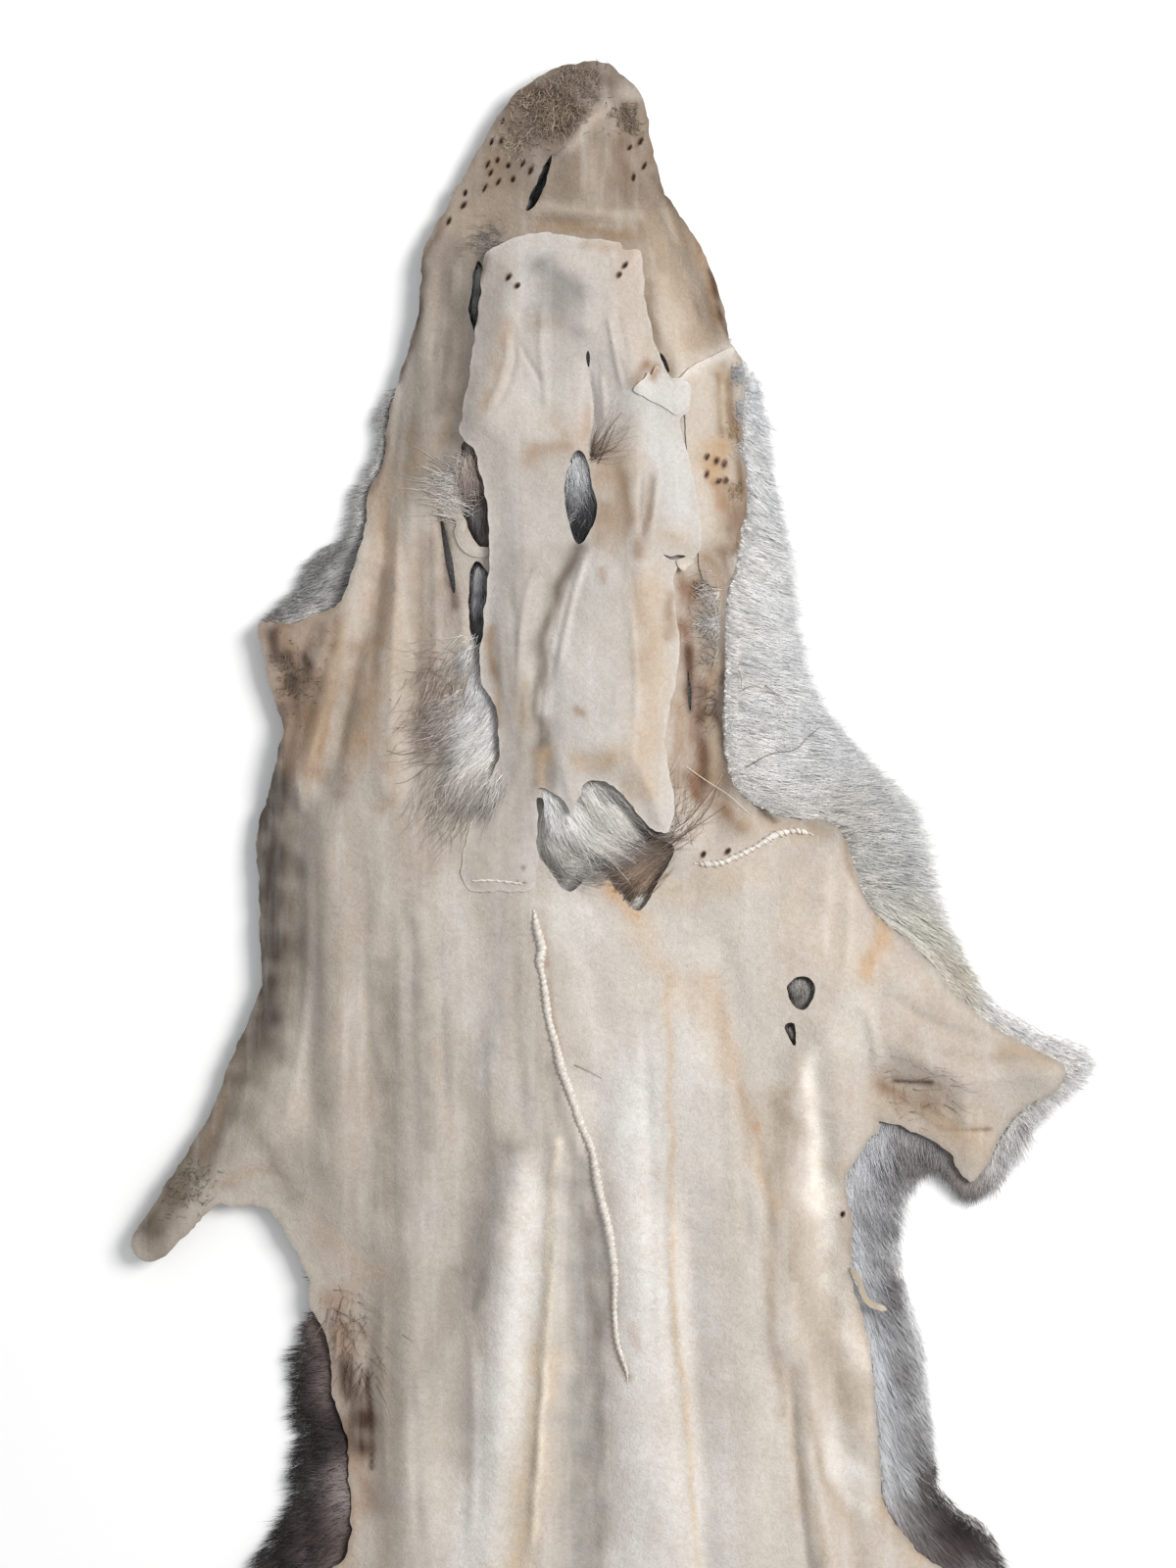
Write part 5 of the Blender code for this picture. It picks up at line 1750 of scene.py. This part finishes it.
def rim_fur(name, region, count, width, seed):
    """Fur that stands out past the hide, paler or darker towards its reach as the comb says."""
    roots = shown_roots(region, count, seed)
    heading, length, root, tip = combed(roots)
    to_reach = reach_line.distance(roots)
    past_hide = hide_line.distance(roots) * ~inside(roots, hide_line.points)
    length = np.minimum(length, np.maximum((to_reach + TIPS_PAST) * 1.15, 3.5))
    out = past_hide / (past_hide + to_reach + 0.1) + 0.12 * wobble(roots, 7, seed)
    near, far = eased(1.5 * out - 0.45)[:, None], eased(1.5 * out + 0.25)[:, None]
    root, tip = blended(root, tip, near), blended(root, tip, far)
    fading = eased(3 * out - 1.6)[:, None] * eased((tip.mean(axis=1) - 0.2) / 0.3)[:, None]
    tip = blended(tip, seen(*FADED), fading)
    uneven = 1 + wobbled(roots, [(0.2, 6, seed + 50), (0.15, 2.5, seed + 51)])
    length = length * np.clip(uneven, 0.6, 1.5)
    wide = width * (1 - 0.4 * eased(2 * out - 0.8))
    lift = 1.4 * (0.1 + 0.9 * eased(past_hide / 5))
    return hairs(
        name, roots, heading, length, root, tip, seed, wide, lift,
        droop=0.5, ground=wool_top, gather=0.42, vary=0.06,
    )


rim_pieces = [
    rim_fur(name, region, count, width, 100 + i)
    for i, (name, (region, count, width)) in enumerate(RIM_FUR.items())
]

# %% Fur of the rump, which the picture doesn't reach
rump_fur = rim_fur("fur_of_the_rump", ((-190, 520), (190, 725)), 4600, 0.6, 110)

# %% [markdown]
# In the holes the fur of the animal's other side shows through, and beside the throat its own fur
# comes out in a swirl. These are tufts, given one by one: where they start, how wide they spread,
# which way they lie, and how long and how dark they are.

# %% Tufts, in the picture's pixels
Tuft = namedtuple("Tuft", "x y spread heading fan length count over root tip")

TUFTS = [
    # The chest, under the arch of the throat's skin
    Tuft(560, 810, 6, 74, 12, 22, 260, "edge", (244, 243, 240), (228, 226, 222)),
    Tuft(562, 808, 7, 60, 12, 24, 340, "edge", (244, 243, 240), (226, 224, 220)),
    Tuft(572, 814, 12, 56, 12, 26, 440, "edge", (244, 242, 238), (220, 217, 212)),
    Tuft(600, 806, 12, 52, 14, 22, 460, "edge", (246, 243, 238), (218, 214, 208)),
    Tuft(614, 816, 14, 42, 14, 22, 460, "edge", (244, 241, 236), (216, 211, 205)),
    Tuft(592, 846, 14, 28, 16, 24, 420, "edge", (244, 241, 236), (206, 199, 192)),
    Tuft(562, 856, 9, 60, 20, 14, 200, "edge", (222, 219, 214), (190, 184, 177)),
    Tuft(572, 880, 12, 20, 18, 14, 260, "edge", (222, 220, 216), (168, 162, 157)),
    Tuft(638, 812, 7, 46, 12, 14, 150, "edge", (200, 196, 192), (120, 108, 102)),
    Tuft(650, 836, 7, 40, 14, 12, 120, "edge", (180, 172, 166), (92, 78, 72)),
    Tuft(606, 870, 8, 4, 10, 24, 150, "edge", (190, 184, 178), (90, 76, 69)),
    Tuft(596, 890, 10, -10, 14, 18, 160, "edge", (196, 190, 185), (92, 78, 72)),
    Tuft(640, 868, 7, -12, 12, 20, 150, "edge", (150, 134, 124), (70, 56, 49)),
    Tuft(622, 890, 8, -22, 8, 22, 170, "edge", (168, 146, 130), (118, 99, 86)),
    Tuft(632, 902, 7, -34, 8, 21, 170, "edge", (188, 166, 148), (140, 119, 103)),
    Tuft(642, 914, 6, -42, 8, 20, 130, "edge", (176, 152, 133), (132, 111, 95)),
    Tuft(648, 908, 13, -52, 16, 14, 170, "edge", (158, 136, 118), (128, 107, 92)),
    Tuft(668, 876, 10, -40, 18, 20, 14, "edge", (190, 168, 148), (130, 108, 92)),
    # The swirl beside the throat
    Tuft(488, 666, 18, 124, 44, 11, 150, "hide", (226, 224, 222), (210, 207, 205)),
    Tuft(494, 690, 10, 112, 18, 16, 330, "hide", (236, 235, 234), (216, 215, 214)),
    Tuft(498, 718, 12, 132, 18, 19, 440, "hide", (238, 237, 236), (214, 212, 210)),
    Tuft(502, 742, 12, 146, 18, 21, 480, "hide", (240, 238, 237), (216, 211, 208)),
    Tuft(498, 764, 14, 138, 20, 22, 440, "hide", (236, 234, 232), (216, 210, 204)),
    Tuft(486, 786, 22, 122, 26, 17, 360, "hide", (224, 219, 213), (206, 196, 185)),
    Tuft(474, 724, 18, 150, 22, 17, 240, "hide", (222, 217, 213), (186, 174, 168)),
    Tuft(464, 748, 26, 156, 24, 13, 90, "hide", (204, 193, 186), (166, 151, 143)),
    Tuft(448, 758, 26, 162, 26, 11, 50, "hide", (178, 163, 153), (148, 130, 120)),
    Tuft(460, 700, 34, 125, 34, 9, 120, "hide", (200, 190, 181), (184, 169, 157)),
    Tuft(454, 812, 34, 120, 34, 12, 150, "hide", (208, 200, 192), (194, 183, 172)),
    Tuft(502, 800, 16, 122, 20, 15, 160, "throat", (218, 214, 210), (204, 198, 191)),
    # The slits left of the throat
    Tuft(489, 585, 7, 100, 24, 10, 190, "hole", (196, 196, 198), (140, 140, 144)),
    Tuft(488, 612, 7, 95, 24, 9, 200, "hole", (184, 184, 187), (96, 96, 100)),
    Tuft(478, 444, 8, 88, 16, 14, 260, "hole", (196, 186, 180), (150, 134, 126)),
    Tuft(482, 480, 10, 92, 18, 14, 300, "hole", (180, 166, 159), (132, 115, 107)),
    Tuft(488, 520, 8, 96, 18, 11, 240, "hole", (150, 143, 142), (86, 80, 80)),
    Tuft(476, 470, 9, 86, 20, 16, 150, "hide", (190, 178, 170), (164, 148, 138)),
    Tuft(472, 490, 16, 188, 30, 14, 90, "hide", (226, 223, 219), (206, 200, 193)),
    Tuft(470, 520, 16, 200, 26, 15, 70, "hide", (222, 218, 213), (200, 192, 184)),
    # The corner of the mouth
    Tuft(502, 248, 16, 190, 60, 6, 60, "hide", (166, 159, 154), (142, 135, 130)),
    Tuft(489, 276, 6, 95, 24, 10, 170, "hole", (200, 199, 199), (146, 144, 144)),
    Tuft(487, 304, 5, 95, 20, 9, 120, "hole", (168, 166, 166), (90, 88, 88)),
    # The hole in the throat
    Tuft(590, 474, 8, 84, 24, 13, 260, "throat hole", (226, 227, 229), (188, 189, 192)),
    Tuft(588, 496, 9, 92, 30, 12, 240, "throat hole", (206, 207, 210), (104, 104, 108)),
    Tuft(597, 512, 7, 84, 30, 10, 200, "throat hole", (96, 97, 102), (30, 30, 32)),
    Tuft(592, 534, 6, 90, 40, 8, 160, "throat hole", (60, 60, 64), (22, 22, 24)),
    Tuft(598, 524, 8, 150, 50, 10, 24, "throat hole", (220, 220, 222), (180, 180, 184)),
    # Holes in the shoulder, and the eye
    Tuft(814, 1004, 7, 110, 50, 6, 180, "hole", (178, 175, 171), (122, 118, 115)),
    Tuft(806, 1050, 4, 100, 50, 5, 80, "hole", (160, 154, 149), (96, 90, 86)),
    Tuft(556, 190, 5, 110, 20, 7, 90, "hole", (84, 82, 84), (44, 42, 44)),
    # Loose hairs on the leather
        Tuft(730, 604, 16, 180, 80, 6, 150, "hide", (216, 211, 206), (198, 190, 182)),
    Tuft(733, 634, 16, 180, 80, 7, 180, "hide", (224, 221, 218), (206, 201, 196)),
    Tuft(736, 668, 14, 170, 80, 6, 130, "hide", (200, 192, 185), (176, 163, 152)),
    Tuft(740, 716, 14, 150, 90, 4, 120, "hide", (140, 114, 94), (100, 80, 66)),
    Tuft(350, 1350, 18, 80, 60, 14, 16, "hide", (150, 128, 110), (96, 76, 64)),
    Tuft(368, 1400, 16, 85, 40, 14, 14, "hide", (130, 104, 86), (84, 64, 52)),
]


def over_the_hole(points):
    """The hide's height, and the wool's in the chest's hole, for hairs that lie across its edge."""
    in_hole = inside(points, hide_holes[0])
    return np.where(in_hole, np.maximum(wool_top(points), 7.0), hide_top(points))


def over_the_throat(points):
    return np.where(inside(points, throat_line.points), throat_top(points), hide_top(points))


GROUNDS = {
    "hole": lambda points: wool_top(points) + 0.3,
    "edge": over_the_hole,
    "hide": hide_top,
    "throat": over_the_throat,
    "throat hole": lambda points: throat_wool_top(points) + 0.1,
}


# A tuft's roots stay this far inside the hide's rim.
ROOTS_INSIDE = 1.6


def tuft_hairs(name, tufts, seed, wide=0.26, curl=0.06):
    """Every tuft of a list as one piece for each ground."""
    rng = np.random.default_rng(seed)
    pieces = []
    for level, ground in GROUNDS.items():
        roots, turns, lengths, root_tints, tip_tints = [], [], [], [], []
        for tuft in tufts:
            if tuft.over != level:
                continue
            middle = in_plan([(tuft.x, tuft.y)])[0]
            roots.append(middle + rng.normal(0, tuft.spread * MM_PER_PIXEL * 0.5, (tuft.count, 2)))
            turns.append(np.radians(tuft.heading + rng.normal(0, tuft.fan * 0.5, tuft.count)))
            lengths.append(tuft.length * rng.uniform(0.7, 1.1, tuft.count))
            root_tints.append(np.tile(seen(*tuft.root), (tuft.count, 1)))
            tip_tints.append(np.tile(seen(*tuft.tip), (tuft.count, 1)))
        if not roots:
            continue
        some = np.vstack(roots)
        kept = inside(some, hide_line.points) & (hide_line.distance(some) > ROOTS_INSIDE)
        pieces.append(hairs(
            f"{name}_{level.replace(' ', '_')}", some[kept],
            np.concatenate(turns)[kept], np.concatenate(lengths)[kept],
            np.vstack(root_tints)[kept], np.vstack(tip_tints)[kept], seed, wide, 0.9,
            droop=0.0, ground=ground, gather=0.35, vary=0.16, stray=0.06, curl=curl, lengths=3,
        ))
    return pieces


tuft_pieces = tuft_hairs("tufts", TUFTS, 120)

# %% [markdown]
# A few long hairs lie alone, across a fold or over the other fur, and each is seen from end to
# end. They are placed one by one, as tubes that thin out towards the tip.

# %% Single long hairs, in the picture's pixels
Strand = namedtuple("Strand", "rise colour path")

STRANDS = [
    Strand(1.2, (236, 228, 214), [(700, 782), (722, 797), (745, 812), (768, 833)]),
    Strand(0.8, (226, 214, 198), [(686, 850), (706, 834), (726, 810), (738, 790)]),
    Strand(0.6, (96, 76, 62), [(676, 866), (700, 850), (724, 824), (733, 800)]),
    Strand(0.6, (110, 88, 72), [(684, 862), (706, 846), (722, 836), (742, 822)]),
    Strand(0.4, (84, 70, 62), [(762, 783), (788, 769), (812, 765), (826, 752), (838, 742)]),
    Strand(0.4, (150, 130, 112), [(754, 683), (757, 692), (757, 703)]),
    Strand(0.4, (150, 130, 112), [(758, 704), (770, 699), (782, 703)]),
    Strand(0.4, (140, 122, 106), [(782, 699), (792, 707), (802, 718)]),
    Strand(0.2, (150, 144, 138), [(586, 1086), (600, 1092), (614, 1100)]),
    Strand(0.2, (120, 100, 84), [(612, 462), (622, 440), (634, 424)]),
    Strand(0.2, (120, 100, 84), [(610, 476), (620, 456), (628, 436)]),
    Strand(0.2, (130, 110, 94), [(440, 764), (412, 770), (396, 766)]),
    Strand(0.2, (130, 110, 94), [(440, 780), (418, 796), (404, 800)]),
]
STRAND_WIDE = 0.16


def strand_tube(strand):
    """One hair from end to end, lying a little over what is under it."""
    plan = open_curve(in_plan(strand.path), 0.9)
    share = np.linspace(0, 1, len(plan))
    under = np.where(inside(plan, hide_line.points), over_the_throat(plan), wool_top(plan) + 1.6)
    height = under + 0.2 + strand.rise * np.sin(share * np.pi)
    return tube(in_frame(plan, height), STRAND_WIDE * (1 - 0.6 * share) * MM, 4, np.array([0, 0, 1.0]))


strand_tubes = [strand_tube(strand) for strand in STRANDS]
strand_corners, strand_faces = joined(strand_tubes)
strand_tints = np.vstack([
    np.tile(seen(*strand.colour), (len(corners), 1)) for strand, (corners, _) in zip(STRANDS, strand_tubes)
])
long_hairs = new_piece("long_hairs", strand_corners, strand_faces, strand_tints)

# %% [markdown]
# Where the blade cut near the grain, the roots of hairs come through the leather. On the nose, the
# ear and the cheek they are a felt of short curly hairs, and elsewhere they are loose and finer.

# %% Loose fine hairs, and the felt
FINE_TUFTS = [
    Tuft(603, 468, 2, -56, 40, 20, 18, "throat", (120, 98, 82), (112, 90, 74)),
    Tuft(604, 462, 3, -62, 12, 22, 9, "throat", (120, 98, 82), (112, 90, 74)),
    Tuft(604, 472, 3, -24, 36, 18, 15, "throat", (120, 98, 82), (120, 98, 82)),
    Tuft(696, 826, 34, -58, 40, 17, 46, "hide", (206, 184, 160), (140, 116, 96)),
    Tuft(688, 848, 16, -50, 30, 20, 26, "hide", (150, 124, 104), (104, 84, 70)),
    Tuft(450, 720, 40, 120, 60, 9, 160, "hide", (160, 142, 128), (130, 112, 98)),
    Tuft(450, 680, 34, 200, 80, 8, 70, "hide", (160, 142, 128), (140, 122, 108)),
    Tuft(360, 1385, 34, 82, 60, 13, 60, "hide", (128, 104, 88), (92, 72, 60)),
    Tuft(346, 1342, 28, 66, 70, 11, 50, "hide", (140, 116, 100), (108, 86, 72)),
    Tuft(940, 1114, 44, 22, 50, 12, 44, "hide", (150, 124, 102), (124, 100, 82)),
    Tuft(751, 380, 9, 15, 44, 6, 170, "hide", (220, 221, 223), (226, 227, 229)),
    Tuft(753, 415, 10, 20, 44, 5.5, 170, "hide", (216, 217, 219), (224, 225, 228)),
    Tuft(754, 455, 10, 24, 44, 4.5, 120, "hide", (214, 214, 216), (224, 225, 228)),
    Tuft(756, 560, 12, 24, 44, 4.5, 90, "hide", (222, 220, 218), (228, 228, 229)),
    Tuft(470, 500, 26, 188, 30, 15, 120, "hide", (226, 222, 216), (210, 202, 194)),
    Tuft(502, 248, 20, 200, 90, 6, 70, "hide", (140, 134, 130), (120, 114, 110)),
    Tuft(736, 640, 40, 170, 90, 7, 160, "hide", (226, 222, 218), (200, 192, 184)),
    Tuft(740, 720, 30, 120, 90, 5, 140, "hide", (128, 102, 82), (96, 76, 62)),
]
FELT = [
    Tuft(562, 112, 34, 0, 360, 4.2, 520, "hide", (126, 104, 86), (168, 148, 126)),
    Tuft(556, 108, 40, 0, 360, 5.0, 260, "hide", (184, 168, 148), (216, 202, 184)),
    Tuft(592, 76, 26, 0, 360, 4.2, 240, "hide", (140, 124, 108), (180, 166, 150)),
    Tuft(524, 142, 20, 80, 120, 5.0, 60, "hide", (176, 160, 140), (206, 192, 172)),
    Tuft(640, 120, 16, 60, 360, 3.6, 120, "hide", (120, 102, 86), (160, 142, 124)),
    Tuft(752, 440, 9, 90, 360, 2.8, 110, "hide", (176, 146, 110), (206, 182, 150)),
    Tuft(754, 500, 9, 90, 360, 2.8, 110, "hide", (150, 120, 88), (190, 164, 132)),
    Tuft(298, 690, 34, 80, 360, 2.6, 170, "hide", (104, 84, 70), (160, 138, 118)),
    Tuft(190, 1210, 30, 130, 360, 2.6, 160, "hide", (116, 102, 88), (156, 142, 126)),
]
felt_pieces = tuft_hairs("felt", FELT, 140, 0.26, 0.3)
fine_pieces = tuft_hairs("fine", FINE_TUFTS, 150, 0.14, 0.14)

# %% [markdown]
# Suede is matt and catches light along its edges, which the shader's sheen gives. Its colour comes
# from the marks on the mesh, and four noises make it uneven: broad clouds, fibres, streaks along
# the body, and a nap finer than a millimetre that is bump as well as colour.

# %% Node helpers
def material_of(name):
    """A new material, with its nodes, its shader and its place on the object."""
    material = bpy.data.materials.new(name)
    material.use_nodes = True
    nodes = material.node_tree.nodes
    place = nodes.new("ShaderNodeTexCoord")
    return material, nodes, material.node_tree.links, nodes["Principled BSDF"], place.outputs["Object"]


def noise(nodes, links, place, size, detail=3.0, roughness=0.55, stretch=(1, 1, 1), distortion=0.0):
    """A noise whose features are about one size across, in metres."""
    mapping = nodes.new("ShaderNodeMapping")
    mapping.inputs["Scale"].default_value = stretch
    links.new(place, mapping.inputs["Vector"])
    made = nodes.new("ShaderNodeTexNoise")
    made.inputs["Scale"].default_value = 1 / size
    made.inputs["Detail"].default_value = detail
    made.inputs["Roughness"].default_value = roughness
    made.inputs["Distortion"].default_value = distortion
    links.new(mapping.outputs["Vector"], made.inputs["Vector"])
    return made.outputs["Fac"]


def ramp(nodes, links, value, low, high, most=1.0):
    """The value between low and high, stretched to run from 0 to the most."""
    made = nodes.new("ShaderNodeMapRange")
    made.inputs["From Min"].default_value = low
    made.inputs["From Max"].default_value = high
    made.inputs["To Max"].default_value = most
    links.new(value, made.inputs["Value"])
    return made.outputs["Result"]


def mixed(nodes, links, share, first, second, kind="MIX"):
    """Two colours mixed by a share. Each is a socket or a colour."""
    made = nodes.new("ShaderNodeMix")
    made.data_type = "RGBA"
    made.blend_type = kind
    links.new(share, made.inputs["Factor"])
    for value, socket in ((first, made.inputs["A"]), (second, made.inputs["B"])):
        if isinstance(value, bpy.types.NodeSocket):
            links.new(value, socket)
        else:
            socket.default_value = (*value, 1)
    return made.outputs["Result"]


def toned(nodes, links, colour, value, low, high, most, tone, kind="MULTIPLY"):
    """The colour with a tone over it, which grows up to the most where the value is high."""
    return mixed(nodes, links, ramp(nodes, links, value, low, high, most), colour, tone, kind)


def bumped(nodes, links, height, strength, distance, over=None):
    """A bump made from a noise, on top of another bump if one is given."""
    made = nodes.new("ShaderNodeBump")
    made.inputs["Strength"].default_value = strength
    made.inputs["Distance"].default_value = distance
    links.new(height, made.inputs["Height"])
    if over is not None:
        links.new(over, made.inputs["Normal"])
    return made.outputs["Normal"]


def tint_of(nodes):
    made = nodes.new("ShaderNodeVertexColor")
    made.layer_name = "tint"
    return made.outputs["Color"]


# %% Suede
NAP_SHADE = (0.72, 0.69, 0.65)


def suede(name, stain, nap_bump):
    material, nodes, links, shader, place = material_of(name)
    clouds = noise(nodes, links, place, 0.035, detail=4)
    fibres = noise(nodes, links, place, 0.003, detail=4, roughness=0.65, distortion=1.5)
    drawn = noise(nodes, links, place, 0.005, detail=3, stretch=(1, 0.1, 1))
    nap = noise(nodes, links, place, 0.001, detail=2, roughness=0.6, distortion=1.2)
    stain = seen(*stain)
    colour = toned(nodes, links, tint_of(nodes), clouds, 0.42, 0.7, 0.3, stain)
    colour = toned(nodes, links, colour, fibres, 0.42, 0.7, 0.4, stain)
    colour = toned(nodes, links, colour, drawn, 0.5, 0.75, 0.12, (1, 1, 1), "SCREEN")
    colour = toned(nodes, links, colour, nap, 0.35, 0.7, 0.45, NAP_SHADE)
    links.new(colour, shader.inputs["Base Color"])
    shader.inputs["Roughness"].default_value = 0.88
    shader.inputs["Specular IOR Level"].default_value = 0.25
    shader.inputs["Sheen Weight"].default_value = 0.18
    shader.inputs["Sheen Roughness"].default_value = 0.5
    fine = bumped(nodes, links, nap, nap_bump, 0.0004)
    links.new(bumped(nodes, links, fibres, 0.4, 0.0006, fine), shader.inputs["Normal"])
    return material


hide_suede = suede("hide_suede", (224, 212, 198), 0.55)
throat_suede = suede("throat_suede", (230, 222, 212), 0.4)
hide.data.materials.append(hide_suede)
throat.data.materials.append(throat_suede)
for tongue in tongues:
    tongue.data.materials.append(throat_suede)

# %% Sewn edges
def plain_hide(name, colour, dark):
    """Pale hard skin or thread, with a fine mottle."""
    material, nodes, links, shader, place = material_of(name)
    spots = noise(nodes, links, place, 0.0015, detail=3)
    tone = toned(nodes, links, seen(*colour), spots, 0.35, 0.7, 1, seen(*dark), "MIX")
    links.new(tone, shader.inputs["Base Color"])
    shader.inputs["Roughness"].default_value = 0.7
    links.new(bumped(nodes, links, spots, 0.3, 0.0003), shader.inputs["Normal"])
    return material


seam_welts.data.materials.append(plain_hide("welt_skin", (222, 218, 212), (198, 189, 179)))
seam_threads.data.materials.append(plain_hide("sewing_thread", (222, 215, 205), (200, 188, 174)))

# %% [markdown]
# A hair is smooth along its length, and pale hairs pass light on to each other, so fur never looks
# quite black between its locks. A faint glow in the hair's own colour stands in for that light. The
# hairs' colours are on their points. The wool has the same colours, with a fine streak over them.

# %% Hair and wool
PASSED_ON = 0.02
HAIR_SHADE = (0.88, 0.87, 0.86)
WOOL_SHADE = (0.76, 0.75, 0.74)


def hair_material(name, roughness, sheen):
    material, nodes, links, shader, place = material_of(name)
    streaks = noise(nodes, links, place, 0.0016, detail=2)
    colour = toned(nodes, links, tint_of(nodes), streaks, 0.35, 0.65, 0.3, HAIR_SHADE)
    links.new(colour, shader.inputs["Base Color"])
    links.new(colour, shader.inputs["Emission Color"])
    shader.inputs["Emission Strength"].default_value = PASSED_ON
    shader.inputs["Roughness"].default_value = roughness
    shader.inputs["Specular IOR Level"].default_value = 0.3
    shader.inputs["Sheen Weight"].default_value = sheen
    return material


fur_hair = hair_material("fur_hair", 0.6, 0.1)
for piece in [*rim_pieces, rump_fur, *tuft_pieces, *felt_pieces, *fine_pieces, long_hairs]:
    piece.data.materials.append(fur_hair)


def wool_material(name):
    material, nodes, links, shader, place = material_of(name)
    strands = noise(nodes, links, place, 0.0012, detail=3, roughness=0.7, distortion=1.5)
    locks = noise(nodes, links, place, 0.005, detail=2, distortion=1.0)
    colour = toned(nodes, links, tint_of(nodes), strands, 0.35, 0.7, 0.35, WOOL_SHADE)
    colour = toned(nodes, links, colour, locks, 0.45, 0.7, 0.3, WOOL_SHADE)
    links.new(colour, shader.inputs["Base Color"])
    shader.inputs["Roughness"].default_value = 0.95
    shader.inputs["Sheen Weight"].default_value = 0.15
    links.new(bumped(nodes, links, strands, 0.9, 0.0012), shader.inputs["Normal"])
    return material


soft_wool = wool_material("soft_wool")
wool.data.materials.append(soft_wool)
throat_wool.data.materials.append(soft_wool)

# %% [markdown]
# A pelt on a floor is a sheet that lies under its own weight. Its flat size is what the skin
# measures when it is pressed out, here taken from its plan.

def flat_size(line):
    return tuple(float(side) * MM for side in np.ptp(line.points, axis=0))


hide_size, throat_size = flat_size(hide_line), flat_size(throat_line)
print("flat sizes, m", hide_size, throat_size)
made = [o for o in bpy.context.scene.objects if o.type == "MESH" and o.data.attributes.get("tint")]
counts = {o.name: len(o.data.polygons) for o in made}
print("triangles in all", sum(counts.values()) + len(welt_faces) + len(thread_faces))

# %% [markdown]
# The floor is a plain pale one. One large soft light from the upper right draws the folds, as in
# the picture, and an even pale surround fills their shadows.

# %% Floor and light
FLOOR_HALF = 3.0
FLOOR_DROP = 0.0002

floor_mesh = bpy.data.meshes.new("floor")
floor_mesh.from_pydata(
    [(-FLOOR_HALF, -FLOOR_HALF, -FLOOR_DROP), (FLOOR_HALF, -FLOOR_HALF, -FLOOR_DROP),
     (FLOOR_HALF, FLOOR_HALF, -FLOOR_DROP), (-FLOOR_HALF, FLOOR_HALF, -FLOOR_DROP)],
    [], [(0, 1, 2, 3)],
)
floor = bpy.data.objects.new("floor", floor_mesh)
bpy.context.scene.collection.objects.link(floor)
floor_paint, floor_nodes, floor_links, floor_shader, floor_place = material_of("floor_paint")
floor_shader.inputs["Roughness"].default_value = 0.9
floor_specks = noise(floor_nodes, floor_links, floor_place, 0.2, detail=2)
floor_tone = mixed(floor_nodes, floor_links, floor_specks, (0.96, 0.96, 0.96), (0.98, 0.98, 0.98))
floor_links.new(floor_tone, floor_shader.inputs["Base Color"])
floor_mesh.materials.append(floor_paint)


# A square light that faces the pelt's middle.
LIGHT_PLACE = (1.2, 0.6, 1.3)
LIGHT_SIZE = 0.9
LIGHT_POWER = 33
LIGHT_COLOUR = (1.0, 0.985, 0.965)
SURROUND_COLOUR = (0.97, 0.985, 1.0, 1)
SURROUND_STRENGTH = 0.55

lamp = bpy.data.lights.new("key_light", "AREA")
lamp.size = LIGHT_SIZE
lamp.energy = LIGHT_POWER
lamp.color = LIGHT_COLOUR
light = bpy.data.objects.new("key_light", lamp)
light.location = LIGHT_PLACE
light.rotation_euler = (-Vector(LIGHT_PLACE)).to_track_quat("-Z", "Y").to_euler()
bpy.context.scene.collection.objects.link(light)
world = bpy.data.worlds.new("surround")
bpy.context.scene.world = world
world.use_nodes = True
background = world.node_tree.nodes["Background"]
background.inputs["Color"].default_value = SURROUND_COLOUR
background.inputs["Strength"].default_value = SURROUND_STRENGTH
bpy.context.scene.view_settings.view_transform = "Standard"

# %% Camera straight above the picture's middle
CAMERA_HEIGHT = 1.1
SENSOR = 36.0
# The leather's usual height, where the picture's scale is right.
LEATHER_LEVEL = 0.010

camera_data = bpy.data.cameras.new("camera")
camera_data.sensor_width = SENSOR
camera_data.lens = SENSOR * (CAMERA_HEIGHT - LEATHER_LEVEL) / (PICTURE_ROWS * MM_PER_PIXEL * MM)
camera = bpy.data.objects.new("camera", camera_data)
view_middle = in_frame(in_plan([(PICTURE_COLUMNS / 2, PICTURE_ROWS / 2)]), np.array([0.0]))[0]
camera.location = (view_middle[0], view_middle[1], CAMERA_HEIGHT)
bpy.context.scene.collection.objects.link(camera)
bpy.context.scene.camera = camera
print("lens", round(camera_data.lens, 1), "mm")

# %% Finish
bpy.context.view_layer.update()
